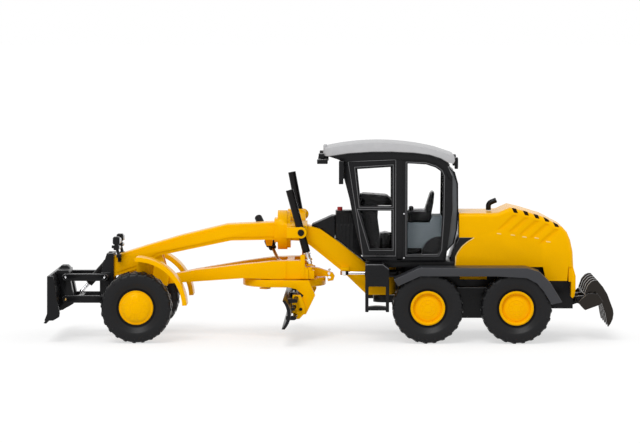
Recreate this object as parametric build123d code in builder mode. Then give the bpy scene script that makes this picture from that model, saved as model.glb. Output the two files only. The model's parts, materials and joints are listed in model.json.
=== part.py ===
from build123d import *
import math
import os

# Motor grader, a 1:50 die-cast scale model with a front dozer blade and a rear ripper.
# Millimetres. The front of the machine is -X, its left side is -Y, and +Z is up.
# The origin is on the ground at the middle of the overall length.

os.makedirs("parts", exist_ok=True)

# Wheels and axles
WHEEL_R = 12.8
TYRE_WIDTH = 8.6
LUG_HEIGHT = 0.45
LUG_COUNT = 18
TREAD_HALF = 3.6
RIM_R = 6.2
TRACK = 42.4
FRONT_AXLE_X = -69.5
TANDEM_X = 51.3
TANDEM_BASE = 31.8
STUB_R = 1.5
BORE_CLEARANCE = 0.2

# Steering knuckles and front axle
KINGPIN_Y = 13.4
KINGPIN_R = 0.9
KNUCKLE_R = 2.0
KNUCKLE_HEIGHT = 6.4
FORK_PLATE = 1.3
FORK_GAP = 0.3
AXLE_HALF_X = 2.2
AXLE_TOP = 15.5
AXLE_BOTTOM = 10.4

# Front fenders
FENDER_GAP = 3.9
FENDER_THICK = 1.6
FENDER_PLATE = 0.75
FENDER_PLATE_Y = 15.75
FENDER_TIP_ANGLE = 3

# Front frame
FRAME_HALF = 4.6
PANEL_RAISE = 0.3
PANEL_MARGIN = 1.2
PEDESTAL_HALF_X = 4.0
PEDESTAL_HALF_Y = 3.4
HITCH_X = 20.0
HITCH_R = 4.2
HITCH_BOTTOM = 15.8
HITCH_TOP = 25.8
HITCH_PIN_R = 1.8
HITCH_GAP = 0.4
DRAWBAR_PIN_X = -61.0
DRAWBAR_PIN_Z = 20.9
DRAWBAR_PIN_R = 0.8
DRAWBAR_BALL_R = 2.0
CHEEK_THICK = 1.2
CHEEK_GAP = 0.4

# Saddle and its cylinders
SADDLE_Z = 39.4
SADDLE_R = 7.2
LIFT_Y = 11.0
LIFT_ARM_Y = 9.2
BARREL_R = 1.4
ROD_R = 0.6
BALL_R = 1.05
COLLAR_R = 2.0
TRUNNION_R = 0.9
CAP_R = 1.3
CAP_GAP = 0.45

# Articulation cylinders: rod eye on the front frame, barrel pin on the rear frame
ARTIC_EYE_X = 5.4
ARTIC_EYE_Y = 8.0
ARTIC_PIN_X = 25.4
ARTIC_PIN_Y = 10.3
ARTIC_PIN_R = 0.7
ARTIC_EYE_PLAY = 0.4
ARTIC_Z = 24.2

# Drawbar, circle and blade
DRAWBAR_HALF = 13.4
DRAWBAR_FLOOR = 25.4
CIRCLE_X = -16.8
CIRCLE_R = 15.2
CIRCLE_BORE = 11.9
CIRCLE_TOP = 22.0
CIRCLE_BOTTOM = 19.3
RUNNING_GAP = 0.35
SHOE_R = 10.4
SHOE_LIP = 0.5
ARM_INNER = 13.9
ARM_OUTER = 15.9
PITCH_X = -10.35
PITCH_Z = 11.8
PITCH_PIN_R = 0.8
BLADE_HALF = 39.6
BLADE_THICK = 1.2
RAIL_R = 0.7
RAIL_HALF = 27.0
GUIDE_THICK = 1.5
GUIDE_GAP = 0.3

# Dozer blade
DOZER_HALF = 26.0
DOZER_END = 0.9
DOZER_THICK = 1.1
DOZER_PIN_FRONT_X = -96.4
DOZER_PIN_REAR_X = -82.1
DOZER_LOWER_Z = 14.5
DOZER_UPPER_Z = 22.5
DOZER_PIN_R = 0.7
DOZER_LINK_Y = 8.6
DOZER_LINK_HALF = 0.9
DOZER_LINK_R = 1.3

# Rear frame
REAR_HALF = 8.5
CHASSIS_BOTTOM = 13.0
DECK_TOP = 28.8
DECK_THICK = 2.0
DECK_HALF = 14.6
CASE_INNER = 10.4
CASE_OUTER = 14.6
CASE_HEIGHT = 11.3

# Cab, roof and hood
CAB_HALF = 16.0
CAB_WALL = 0.9
GLASS_THICK = 0.4
ROOF_HALF = 17.4
HOOD_HALF = 14.4
FENDER_OUTER = 26.5
REAR_SKIRT = 0.7

# Ripper
RIPPER_PIN_X = 90.9
RIPPER_PIN_Z = 14.4
RIPPER_PIN_R = 0.8
RIPPER_HALF = 18.0
RIPPER_ARM_Y = 6.0
TINE_COUNT = 5
TINE_PITCH = 7.6
TINE_THICK = 1.8

# Left is the side seen in the picture.
SIDES = (("left", -1), ("right", 1))


def side_plate(points, y_low, y_high, mode=Mode.ADD):
    """An outline of (x, z) points as a plate from y_low to y_high."""
    with BuildSketch(Plane.XZ.offset(-y_high)) as face:
        with BuildLine():
            Polyline(*points, close=True)
        make_face()
    extrude(face.sketch, amount=y_high - y_low, mode=mode)


def block(x_low, x_high, y_low, y_high, z_low, z_high, mode=Mode.ADD):
    """A block between two corners."""
    centre = ((x_low + x_high) / 2, (y_low + y_high) / 2, (z_low + z_high) / 2)
    with Locations(centre):
        Box(x_high - x_low, y_high - y_low, z_high - z_low, mode=mode)


def cross_pin(x, z, radius, y_low, y_high, mode=Mode.ADD):
    """A round pin across the machine."""
    with BuildSketch(Plane.XZ.offset(-y_high)) as face:
        with Locations((x, z)):
            Circle(radius)
    extrude(face.sketch, amount=y_high - y_low, mode=mode)


def upright_pin(x, y, radius, z_low, z_high, mode=Mode.ADD):
    """A round pin that stands upright."""
    with BuildSketch(Plane.XY.offset(z_low)) as face:
        with Locations((x, y)):
            Circle(radius)
    extrude(face.sketch, amount=z_high - z_low, mode=mode)


def tube_between(start, end, radius, mode=Mode.ADD):
    """A round bar from one point to another."""
    along = Vector(*end) - Vector(*start)
    with BuildSketch(Plane(origin=start, z_dir=along)) as face:
        Circle(radius)
    extrude(face.sketch, amount=along.length, mode=mode)


def between(start, end, distance):
    """The point at a distance from start towards end."""
    along = (Vector(*end) - Vector(*start)).normalized()
    return Vector(*start) + along * distance


# Tyre: a tread band with two rows of bars, half a pitch apart, and sloping sidewalls
half_tyre = TYRE_WIDTH / 2
groove_r = WHEEL_R - LUG_HEIGHT
widest_r = RIM_R + 3.4
lug_pitch = 360 / LUG_COUNT
# One bar of the tread: share of the pitch, radius
LUG_SHAPE = ((0.0, groove_r), (0.1, WHEEL_R), (0.5, WHEEL_R), (0.6, groove_r))
with BuildPart() as tyre_form:
    for row in (0, 1):
        tread_points = []
        for lug in range(LUG_COUNT):
            for share, radius in LUG_SHAPE:
                turn = math.radians(lug_pitch * (lug + row / 2 + share))
                tread_points.append((radius * math.cos(turn), radius * math.sin(turn)))
        side_plate(tread_points, -TREAD_HALF * row, TREAD_HALF * (1 - row))
    with BuildSketch(Plane.YZ):
        with BuildLine():
            Polyline((-half_tyre + 0.7, 0), (-half_tyre + 0.7, RIM_R), (-half_tyre, widest_r),
                     (-TREAD_HALF, groove_r), (TREAD_HALF, groove_r), (half_tyre, widest_r),
                     (half_tyre - 0.7, RIM_R), (half_tyre - 0.7, 0), close=True)
        make_face()
    revolve(axis=Axis.Y)
    cross_pin(0, 0, RIM_R, -half_tyre, half_tyre, mode=Mode.SUBTRACT)

# Rear rim with a sunk face, and front rim with a hub cap that stands proud
bore_r = STUB_R + BORE_CLEARANCE
rim_back = ((3.3, RIM_R), (3.3, 3.2), (3.3, bore_r), (-0.7, bore_r), (-0.7, 0))
rear_rim_face = ((-2.5, 0), (-2.5, 3.3), (-1.8, 4.9), (-3.4, 5.4), (-3.4, RIM_R))
front_rim_face = ((-4.7, 0), (-4.7, 1.9), (-4.1, 4.2), (-3.0, 5.6), (-3.0, RIM_R))
with BuildPart() as rear_rim_form:
    with BuildSketch(Plane.YZ):
        with BuildLine():
            Polyline(*rear_rim_face, *rim_back, close=True)
        make_face()
    revolve(axis=Axis.Y)
with BuildPart() as front_rim_form:
    with BuildSketch(Plane.YZ):
        with BuildLine():
            Polyline(*front_rim_face, *rim_back, close=True)
        make_face()
    revolve(axis=Axis.Y)

# Wheel stations: name, distance along the machine, rim
tandem_front_x = TANDEM_X - TANDEM_BASE / 2
tandem_rear_x = TANDEM_X + TANDEM_BASE / 2
STATIONS = (
    ("front", FRONT_AXLE_X, front_rim_form),
    ("middle", tandem_front_x, rear_rim_form),
    ("rear", tandem_rear_x, rear_rim_form),
)
for station, wheel_x, rim_form in STATIONS:
    for side, hand in SIDES:
        wheel_place = Location((wheel_x, hand * TRACK / 2, WHEEL_R), (0, 0, 90 + 90 * hand))
        with BuildPart() as tyre:
            with Locations(wheel_place):
                add(tyre_form.part)
        tyre.part.label = f"tyre_{station}_{side}"
        export_step(tyre.part, f"parts/tyre_{station}_{side}.step")
        with BuildPart() as rim:
            with Locations(wheel_place):
                add(rim_form.part)
        rim.part.label = f"rim_{station}_{side}"
        export_step(rim.part, f"parts/rim_{station}_{side}.step")

# Front axle beam with a fork and kingpin at each end
knuckle_low = WHEEL_R - KNUCKLE_HEIGHT / 2
knuckle_high = WHEEL_R + KNUCKLE_HEIGHT / 2
fork_low = knuckle_low - FORK_GAP - FORK_PLATE
fork_high = knuckle_high + FORK_GAP + FORK_PLATE
web_y = KINGPIN_Y - KNUCKLE_R - 2 * FORK_GAP
with BuildPart() as front_axle:
    block(FRONT_AXLE_X - AXLE_HALF_X, FRONT_AXLE_X + AXLE_HALF_X, 0, web_y, AXLE_BOTTOM, AXLE_TOP)
    block(FRONT_AXLE_X - KNUCKLE_R, FRONT_AXLE_X + KNUCKLE_R, web_y - 1.2, web_y, fork_low, fork_high)
    for plate_z in (fork_low, fork_high - FORK_PLATE):
        block(FRONT_AXLE_X - KNUCKLE_R, FRONT_AXLE_X + KNUCKLE_R, web_y, KINGPIN_Y,
              plate_z, plate_z + FORK_PLATE)
        upright_pin(FRONT_AXLE_X, KINGPIN_Y, KNUCKLE_R, plate_z, plate_z + FORK_PLATE)
    upright_pin(FRONT_AXLE_X, KINGPIN_Y, KINGPIN_R, fork_low, fork_high)
    mirror(about=Plane.XZ)
front_axle.part.label = "front_axle"
export_step(front_axle.part, "parts/front_axle.step")

# Knuckles with the stub axles, and the fenders that steer with them
fender_r = WHEEL_R + FENDER_GAP
flange_r = 2.9
for side, hand in SIDES:
    with BuildPart() as knuckle:
        upright_pin(FRONT_AXLE_X, KINGPIN_Y, KNUCKLE_R, knuckle_low, knuckle_high)
        cross_pin(FRONT_AXLE_X, WHEEL_R, STUB_R, KINGPIN_Y, TRACK / 2 + 0.5)
        cross_pin(FRONT_AXLE_X, WHEEL_R, flange_r, KINGPIN_Y + 1.6, FENDER_PLATE_Y)
        cross_pin(FRONT_AXLE_X, WHEEL_R, flange_r - 0.7, FENDER_PLATE_Y, FENDER_PLATE_Y + 0.9)
        upright_pin(FRONT_AXLE_X, KINGPIN_Y, KINGPIN_R + BORE_CLEARANCE, knuckle_low, knuckle_high,
                    mode=Mode.SUBTRACT)
        if hand < 0:
            mirror(about=Plane.XZ, mode=Mode.REPLACE)
    knuckle.part.label = f"knuckle_{side}"
    export_step(knuckle.part, f"parts/knuckle_{side}.step")

    with BuildPart() as front_fender:
        with BuildSketch(Plane.XZ.offset(-FENDER_PLATE_Y)):
            with BuildLine():
                CenterArc((FRONT_AXLE_X, WHEEL_R), fender_r, FENDER_TIP_ANGLE, 88)
                CenterArc((FRONT_AXLE_X, WHEEL_R), fender_r + FENDER_THICK, FENDER_TIP_ANGLE, 88)
                for turn in (FENDER_TIP_ANGLE, FENDER_TIP_ANGLE + 88):
                    PolarLine((FRONT_AXLE_X + fender_r * math.cos(math.radians(turn)),
                               WHEEL_R + fender_r * math.sin(math.radians(turn))),
                              FENDER_THICK, turn)
            make_face()
        extrude(amount=-(TRACK / 2 + half_tyre - FENDER_PLATE_Y))
        fillet(front_fender.edges().filter_by(Axis.Y).sort_by(Axis.Z)[-1], FENDER_THICK * 0.45)
        side_plate(
            ((FRONT_AXLE_X - 2.6, WHEEL_R - 2.4), (FRONT_AXLE_X + 3.4, WHEEL_R - 2.4),
             (FRONT_AXLE_X + 6.0, WHEEL_R + fender_r - 1.8), (FRONT_AXLE_X + 2.6, WHEEL_R + fender_r),
             (FRONT_AXLE_X + 0.4, WHEEL_R + fender_r), (FRONT_AXLE_X - 1.4, WHEEL_R + 8.0)),
            FENDER_PLATE_Y, FENDER_PLATE_Y + FENDER_PLATE)
        cross_pin(FRONT_AXLE_X, WHEEL_R, flange_r - 0.7, FENDER_PLATE_Y - 1, FENDER_PLATE_Y + 2,
                  mode=Mode.SUBTRACT)
        if hand < 0:
            mirror(about=Plane.XZ, mode=Mode.REPLACE)
    front_fender.part.label = f"front_fender_{side}"
    export_step(front_fender.part, f"parts/front_fender_{side}.step")

# Front frame: the gooseneck beam, in side view from the front face back to the hitch
neck_top = (
    (-79.1, 29.9), (-67.3, 33.7), (-54.5, 37.5), (-37.7, 41.6), (-20.8, 42.4), (-9.6, 41.6),
    (-3.7, 40.0), (3.4, 35.0), (HITCH_X - 5.0, HITCH_TOP),
)
neck_bottom = (
    (HITCH_X - 6.4, HITCH_BOTTOM), (5.4, 23.7), (-7.1, 33.8), (-9.6, 35.6), (-20.8, 36.0),
    (-36.1, 35.7), (-62.7, 30.1), (-69.2, 25.8), (-79.1, 22.4),
)
neck_outline = neck_top + neck_bottom
with BuildPart() as front_frame:
    side_plate(neck_outline, -FRAME_HALF, FRAME_HALF)
    fillet(front_frame.edges().filter_by(GeomType.LINE).group_by(Axis.Y)[0]
           .filter_by(lambda edge: edge.center().Z > 38), 0.7)
    fillet(front_frame.edges().filter_by(GeomType.LINE).group_by(Axis.Y)[-1]
           .filter_by(lambda edge: edge.center().Z > 38), 0.7)
    with BuildSketch(Plane.XZ.offset(-FRAME_HALF)) as panel:
        with BuildLine():
            Polyline(*neck_outline, close=True)
        make_face()
        offset(amount=-PANEL_MARGIN, kind=Kind.INTERSECTION)
    extrude(panel.sketch, amount=PANEL_RAISE, dir=(0, 1, 0))
    extrude(panel.sketch.moved(Location((0, -2 * FRAME_HALF, 0))), amount=PANEL_RAISE, dir=(0, -1, 0))
    block(FRONT_AXLE_X - PEDESTAL_HALF_X, FRONT_AXLE_X + PEDESTAL_HALF_X,
          -PEDESTAL_HALF_Y, PEDESTAL_HALF_Y, AXLE_TOP, 27.0)
    # Hitch barrel
    block(HITCH_X - 6.4, HITCH_X, -HITCH_R, HITCH_R, HITCH_BOTTOM, HITCH_TOP)
    upright_pin(HITCH_X, 0, HITCH_R, HITCH_BOTTOM, HITCH_TOP)
    upright_pin(HITCH_X, 0, HITCH_PIN_R + BORE_CLEARANCE, HITCH_BOTTOM, HITCH_TOP, mode=Mode.SUBTRACT)
    # Hanger and pin for the drawbar ball
    cheek_y = DRAWBAR_BALL_R + CHEEK_GAP
    for hand in (-1, 1):
        y_pair = sorted((hand * cheek_y, hand * (cheek_y + CHEEK_THICK)))
        side_plate(((DRAWBAR_PIN_X - 5.2, 30.4), (DRAWBAR_PIN_X - 5.2, 24.0),
                    (DRAWBAR_PIN_X - 1.6, DRAWBAR_PIN_Z - 1.9), (DRAWBAR_PIN_X + 1.4, DRAWBAR_PIN_Z - 1.9),
                    (DRAWBAR_PIN_X + 2.0, DRAWBAR_PIN_Z + 1.0), (DRAWBAR_PIN_X - 0.6, 31.0)), *y_pair)
    cross_pin(DRAWBAR_PIN_X, DRAWBAR_PIN_Z, DRAWBAR_PIN_R, -cheek_y, cheek_y)
    # Lug for the centre-shift cylinder, and lugs with pins for the articulation rods
    side_plate(((-24.0, 36.2), (-23.4, 33.4), (-21.4, 33.4), (-20.9, 36.2)), 0.6, 2.5)
    for hand in (-1, 1):
        y_pair = sorted((hand * (FRAME_HALF - 0.4), hand * (ARTIC_EYE_Y + 1.4)))
        block(ARTIC_EYE_X - 1.4, ARTIC_EYE_X + 1.6, *y_pair, ARTIC_Z + 0.9, ARTIC_Z + 2.0)
        upright_pin(ARTIC_EYE_X, hand * ARTIC_EYE_Y, ARTIC_PIN_R, ARTIC_Z - 0.9, ARTIC_Z + 0.9)
front_frame.part.label = "front_frame"
export_step(front_frame.part, "parts/front_frame.step")

# Lift cylinders: name, side, top of barrel, lower end of barrel, trunnion height, ball (x, z)
LIFT_CYLINDERS = (
    ("left", -1, (-14.6, 54.6), 31.9, 39.2, (-7.4, 28.1)),
    ("right", 1, (-14.3, 60.1), 35.4, 44.3, (-8.3, 28.7)),
)
lift_pins = []
for side, hand, top, barrel_low_z, trunnion_z, ball in LIFT_CYLINDERS:
    top_point = (top[0], hand * LIFT_Y, top[1])
    ball_point = (ball[0], hand * LIFT_Y, ball[1])
    drop = top[1] - ball[1]
    whole = math.dist(top, ball)
    barrel_length = whole * (top[1] - barrel_low_z) / drop
    trunnion = between(top_point, ball_point, whole * (top[1] - trunnion_z) / drop)
    lift_pins.append((hand, trunnion.X, trunnion.Z))
    bore_start = between(top_point, ball_point, 2.0)
    with BuildPart() as lift_barrel:
        tube_between(top_point, tuple(between(top_point, ball_point, barrel_length)), BARREL_R)
        y_pair = sorted((hand * (LIFT_ARM_Y + 0.3), hand * (LIFT_Y + BARREL_R + 0.5)))
        cross_pin(trunnion.X, trunnion.Z, COLLAR_R, *y_pair)
        y_pair = sorted((hand * (LIFT_ARM_Y - 1.5), hand * (LIFT_ARM_Y + 0.4)))
        cross_pin(trunnion.X, trunnion.Z, TRUNNION_R, *y_pair)
        tube_between(tuple(bore_start), ball_point, ROD_R + 0.15, mode=Mode.SUBTRACT)
    lift_barrel.part.label = f"lift_barrel_{side}"
    export_step(lift_barrel.part, f"parts/lift_barrel_{side}.step")
    with BuildPart() as lift_rod:
        rod_top = between(top_point, ball_point, barrel_length - 11.0)
        tube_between(tuple(rod_top), ball_point, ROD_R)
        with Locations(ball_point):
            Sphere(BALL_R)
    lift_rod.part.label = f"lift_rod_{side}"
    export_step(lift_rod.part, f"parts/lift_rod_{side}.step")

# Saddle: three rings round the gooseneck and the two lift arms, rolled a little
# Rings: front face, rear face, radius
SADDLE_RINGS = ((-19.1, -15.6, SADDLE_R), (-15.6, -14.4, SADDLE_R - 0.6))
with BuildPart() as saddle:
    for ring_front, ring_rear, ring_r in SADDLE_RINGS:
        with BuildSketch(Plane.YZ.offset(ring_front)) as ring_face:
            with Locations((0, SADDLE_Z)):
                Circle(ring_r)
        extrude(ring_face.sketch, amount=ring_rear - ring_front)
    with BuildSketch(Plane.YZ.offset(-20.3)) as collar_face:
        with Locations((0, SADDLE_Z)):
            RectangleRounded(2 * FRAME_HALF + 2.4, 8.8, 2.4)
    extrude(collar_face.sketch, amount=1.2)
    arm_front = -15.7
    for hand, pin_x, pin_z in lift_pins:
        with BuildSketch(Plane.YZ.offset(arm_front)) as arm_face:
            with BuildLine():
                Polyline((hand * 3.0, SADDLE_Z + 3.6), (hand * 3.0, SADDLE_Z - 2.6),
                         (hand * LIFT_ARM_Y, pin_z - 2.2), (hand * LIFT_ARM_Y, pin_z + 2.2), close=True)
            make_face()
        extrude(arm_face.sketch, amount=pin_x + 2.2 - arm_front)
        y_pair = sorted((hand * (LIFT_ARM_Y - 2.0), hand * LIFT_ARM_Y))
        cross_pin(pin_x, pin_z, 2.2, *y_pair)
    for hand, pin_x, pin_z in lift_pins:
        y_pair = sorted((hand * (LIFT_ARM_Y - 1.8), hand * (LIFT_ARM_Y + 1)))
        cross_pin(pin_x, pin_z, TRUNNION_R + BORE_CLEARANCE, *y_pair, mode=Mode.SUBTRACT)
    with BuildSketch(Plane.XZ.offset(-FRAME_HALF - 0.1)) as neck_room:
        with BuildLine():
            Polyline(*neck_outline, close=True)
        make_face()
        offset(amount=0.1, kind=Kind.INTERSECTION)
    extrude(neck_room.sketch, amount=2 * FRAME_HALF + 0.2, mode=Mode.SUBTRACT)
    panel_room = FRAME_HALF + PANEL_RAISE + 0.1
    block(-22, -8, -panel_room, panel_room, 36.3, 41.4, mode=Mode.SUBTRACT)
saddle.part.label = "saddle"
export_step(saddle.part, "parts/saddle.step")

# Centre-shift cylinder, from beside the frame down to the drawbar
SHIFT_TOP = (-27.1, 13.5, 43.5)
SHIFT_BALL = (-18.7, 1.4, 27.5)
shift_length = math.dist(SHIFT_TOP, SHIFT_BALL)
shift_barrel_length = 15.4
with BuildPart() as shift_barrel:
    tube_between(SHIFT_TOP, tuple(between(SHIFT_TOP, SHIFT_BALL, shift_barrel_length)), BARREL_R)
    fillet(shift_barrel.edges().sort_by(Axis.Z)[-1], BARREL_R * 0.6)
    collar_start = between(SHIFT_TOP, SHIFT_BALL, shift_length * 0.575 - 1.1)
    tube_between(tuple(collar_start), tuple(between(tuple(collar_start), SHIFT_BALL, 2.2)), COLLAR_R - 0.1)
    tube_between(tuple(between(SHIFT_TOP, SHIFT_BALL, 2.0)), SHIFT_BALL, ROD_R + 0.15, mode=Mode.SUBTRACT)
shift_barrel.part.label = "shift_barrel"
export_step(shift_barrel.part, "parts/shift_barrel.step")
with BuildPart() as shift_rod:
    tube_between(tuple(between(SHIFT_TOP, SHIFT_BALL, shift_barrel_length - 9.0)), SHIFT_BALL, ROD_R)
    with Locations(SHIFT_BALL):
        Sphere(BALL_R)
shift_rod.part.label = "shift_rod"
export_step(shift_rod.part, "parts/shift_rod.step")

# Drawbar: side outline cut to an A in plan, with the ball, tail and shoes for the circle
draw_side = (
    (DRAWBAR_PIN_X, 22.4), (-49.3, 24.8), (-30.9, 27.5), (-20.4, 28.7), (-10.8, 29.0), (-8.0, 26.0),
    (-4.0, 25.4), (1.0, 23.6), (1.7, 22.4), (1.2, 20.9), (-0.8, 20.6), (-1.0, CIRCLE_TOP + RUNNING_GAP),
    (-31.5, CIRCLE_TOP + RUNNING_GAP), (-53.9, 20.2), (DRAWBAR_PIN_X, 19.4),
)
with BuildPart() as drawbar:
    side_plate(draw_side, -DRAWBAR_HALF, DRAWBAR_HALF)
    with BuildSketch(Plane.XY.offset(15)) as plan:
        with BuildLine():
            Polyline((DRAWBAR_PIN_X, -1.4), (-56, -2.6), (-22, -DRAWBAR_HALF), (-7.8, -DRAWBAR_HALF),
                     (-6.6, -2.0), (2, -2.0), (2, 2.0), (-6.6, 2.0), (-7.8, DRAWBAR_HALF),
                     (-22, DRAWBAR_HALF), (-56, 2.6), (DRAWBAR_PIN_X, 1.4), close=True)
        make_face()
        with BuildLine():
            Polyline((-46, -1.2), (-26, -7.2), (-21.5, -7.2), (-21.5, 7.2), (-26, 7.2), (-46, 1.2),
                     close=True)
        make_face(mode=Mode.SUBTRACT)
    extrude(plan.sketch, amount=20, mode=Mode.INTERSECT)
    block(-21.5, -15.6, -7.2, 7.2, DRAWBAR_FLOOR - 0.2, 32, mode=Mode.SUBTRACT)
    block(-13.0, -7.9, -8.0, 8.0, DRAWBAR_FLOOR + 0.4, 32, mode=Mode.SUBTRACT)
    for hand in (-1, 1):
        y_pair = sorted((hand * (LIFT_Y - 1.6), hand * (LIFT_Y + 1.6)))
        block(-10.2, -5.6, *y_pair, DRAWBAR_FLOOR - 2.2, 40, mode=Mode.SUBTRACT)
        block(-10.2, -5.6, *y_pair, CIRCLE_TOP + RUNNING_GAP, DRAWBAR_FLOOR)
        # Rib on the side, and post beside the lift ball
        y_pair = sorted((hand * (DRAWBAR_HALF - 0.2), hand * (DRAWBAR_HALF + 0.4)))
        block(-17.0, -15.8, *y_pair, CIRCLE_TOP + 0.6, 28.4)
        y_pair = sorted((hand * (DRAWBAR_HALF - 0.5), hand * (DRAWBAR_HALF + 0.3)))
        block(-10.6, -9.0, *y_pair, CIRCLE_TOP + 0.6, 31.2)
    with Locations((DRAWBAR_PIN_X, 0, DRAWBAR_PIN_Z)):
        Sphere(DRAWBAR_BALL_R)
    cross_pin(DRAWBAR_PIN_X, DRAWBAR_PIN_Z, DRAWBAR_PIN_R + BORE_CLEARANCE, -5, 5, mode=Mode.SUBTRACT)
    cross_pin(-0.3, 21.9, 0.6, -5, 5, mode=Mode.SUBTRACT)
    # Shoes: angle round the circle
    for shoe_angle in (50, 125, 235, 310):
        with Locations(Plane.XY.offset(CIRCLE_BOTTOM - RUNNING_GAP)):
            with Locations((CIRCLE_X, 0)):
                with PolarLocations(SHOE_R, 1, start_angle=shoe_angle):
                    Box(CIRCLE_BORE - RUNNING_GAP - SHOE_R, 3.0, 24.0 - CIRCLE_BOTTOM + RUNNING_GAP,
                        align=(Align.MIN, Align.CENTER, Align.MIN))
                    Box(CIRCLE_BORE + 1.2 - SHOE_R, 3.0, SHOE_LIP,
                        align=(Align.MIN, Align.CENTER, Align.MAX))
    # Caps under the three cylinder balls
    for side, hand, top, barrel_low_z, trunnion_z, ball in LIFT_CYLINDERS:
        upright_pin(ball[0], hand * LIFT_Y, CAP_R, DRAWBAR_FLOOR, ball[1] - BALL_R - CAP_GAP)
    upright_pin(SHIFT_BALL[0], SHIFT_BALL[1], CAP_R, DRAWBAR_FLOOR - 0.2, SHIFT_BALL[2] - BALL_R - CAP_GAP)
drawbar.part.label = "drawbar"
export_step(drawbar.part, "parts/drawbar.step")

# Circle ring with the seats of the blade arms
arm_seat_front = -14.0
arm_seat_rear = -7.6
with BuildPart() as circle_ring:
    upright_pin(CIRCLE_X, 0, CIRCLE_R, CIRCLE_BOTTOM, CIRCLE_TOP)
    for hand in (-1, 1):
        y_pair = sorted((hand * ARM_INNER, hand * (CIRCLE_R + 1)))
        block(CIRCLE_X - CIRCLE_R, CIRCLE_X + CIRCLE_R, *y_pair, CIRCLE_BOTTOM, CIRCLE_TOP,
              mode=Mode.SUBTRACT)
    for hand in (-1, 1):
        y_pair = sorted((hand * 9.0, hand * ARM_INNER))
        block(arm_seat_front, arm_seat_rear, *y_pair, CIRCLE_BOTTOM, CIRCLE_TOP)
    upright_pin(CIRCLE_X, 0, CIRCLE_BORE, CIRCLE_BOTTOM, CIRCLE_TOP, mode=Mode.SUBTRACT)
circle_ring.part.label = "circle_ring"
export_step(circle_ring.part, "parts/circle_ring.step")

# Blade arms that hang from the circle
arm_outline = (
    (-16.8, CIRCLE_TOP), (-16.8, 19.9), (-12.2, 18.9), (-9.35, 16.6), (-11.8, 12.9), (-11.8, 10.9),
    (-10.3, 9.5), (-8.5, 9.8), (-5.2, 16.6), (-7.5, CIRCLE_TOP),
)
with BuildPart() as blade_arms:
    for hand in (-1, 1):
        y_pair = sorted((hand * ARM_INNER, hand * ARM_OUTER))
        side_plate(arm_outline, *y_pair)
    cross_pin(PITCH_X, PITCH_Z, PITCH_PIN_R + BORE_CLEARANCE, -20, 20, mode=Mode.SUBTRACT)
blade_arms.part.label = "blade_arms"
export_step(blade_arms.part, "parts/blade_arms.step")

# Rails of the blade: (x, z) of each bar
RAILS = ((-12.0, 15.6), (-12.5, 9.4))
SHIFT_BAR = (-12.8, 12.6)
guide_outline = (
    (-13.1, 8.2), (-10.9, 8.2), (-8.9, 10.4), (-8.9, 13.2), (-10.5, 16.9), (-13.3, 16.9), (-13.5, 12.5),
)
with BuildPart() as blade_guides:
    for hand in (-1, 1):
        for guide_y in (ARM_INNER - GUIDE_GAP - GUIDE_THICK, ARM_OUTER + GUIDE_GAP):
            y_pair = sorted((hand * guide_y, hand * (guide_y + GUIDE_THICK)))
            side_plate(guide_outline, *y_pair)
    for rail_x, rail_z in RAILS + (SHIFT_BAR,):
        cross_pin(rail_x, rail_z, RAIL_R + 0.15, -20, 20, mode=Mode.SUBTRACT)
    pin_inner = ARM_INNER - GUIDE_GAP - GUIDE_THICK
    pin_outer = ARM_OUTER + GUIDE_GAP + GUIDE_THICK + 0.4
    for hand in (-1, 1):
        y_pair = sorted((hand * pin_inner, hand * pin_outer))
        cross_pin(PITCH_X, PITCH_Z, PITCH_PIN_R, *y_pair)
blade_guides.part.label = "blade_guides"
export_step(blade_guides.part, "parts/blade_guides.step")

# Blade: a curved sheet with rails held off its back
BLADE_TOP = (-16.4, 16.7)
BLADE_DEEP = (-14.7, 12.0)
BLADE_TIP = (-16.7, 6.7)
with BuildPart() as blade:
    with BuildSketch(Plane.XZ.offset(-BLADE_HALF)):
        with BuildLine():
            ThreePointArc(BLADE_TOP, BLADE_DEEP, BLADE_TIP)
            Line(BLADE_TIP, (BLADE_TIP[0] + 1.0, BLADE_TIP[1] - 0.1))
            ThreePointArc((BLADE_TIP[0] + 1.0, BLADE_TIP[1] - 0.1),
                          (BLADE_DEEP[0] + BLADE_THICK, BLADE_DEEP[1]),
                          (BLADE_TOP[0] + 0.8, BLADE_TOP[1] + 0.3))
            Line((BLADE_TOP[0] + 0.8, BLADE_TOP[1] + 0.3), BLADE_TOP)
        make_face()
    extrude(amount=2 * BLADE_HALF)
    for rail_x, rail_z in RAILS:
        cross_pin(rail_x, rail_z, RAIL_R, -RAIL_HALF, RAIL_HALF)
        for lug_y in (-RAIL_HALF, -1.2, RAIL_HALF - 2.4):
            side_plate(((rail_x, rail_z - RAIL_R), (rail_x, rail_z + RAIL_R),
                        (-15.2 - 0.12 * abs(rail_z - 12), rail_z + RAIL_R),
                        (-15.2 - 0.12 * abs(rail_z - 12), rail_z - RAIL_R)), lug_y, lug_y + 2.4)
    cross_pin(*SHIFT_BAR, 0.45, -RAIL_HALF, RAIL_HALF)
    for lug_y in (-RAIL_HALF, RAIL_HALF - 1.6):
        block(-14.2, SHIFT_BAR[0] + 0.5, lug_y, lug_y + 1.6, SHIFT_BAR[1] - 0.5, SHIFT_BAR[1] + 0.5)
blade.part.label = "blade"
export_step(blade.part, "parts/blade.step")

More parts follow.
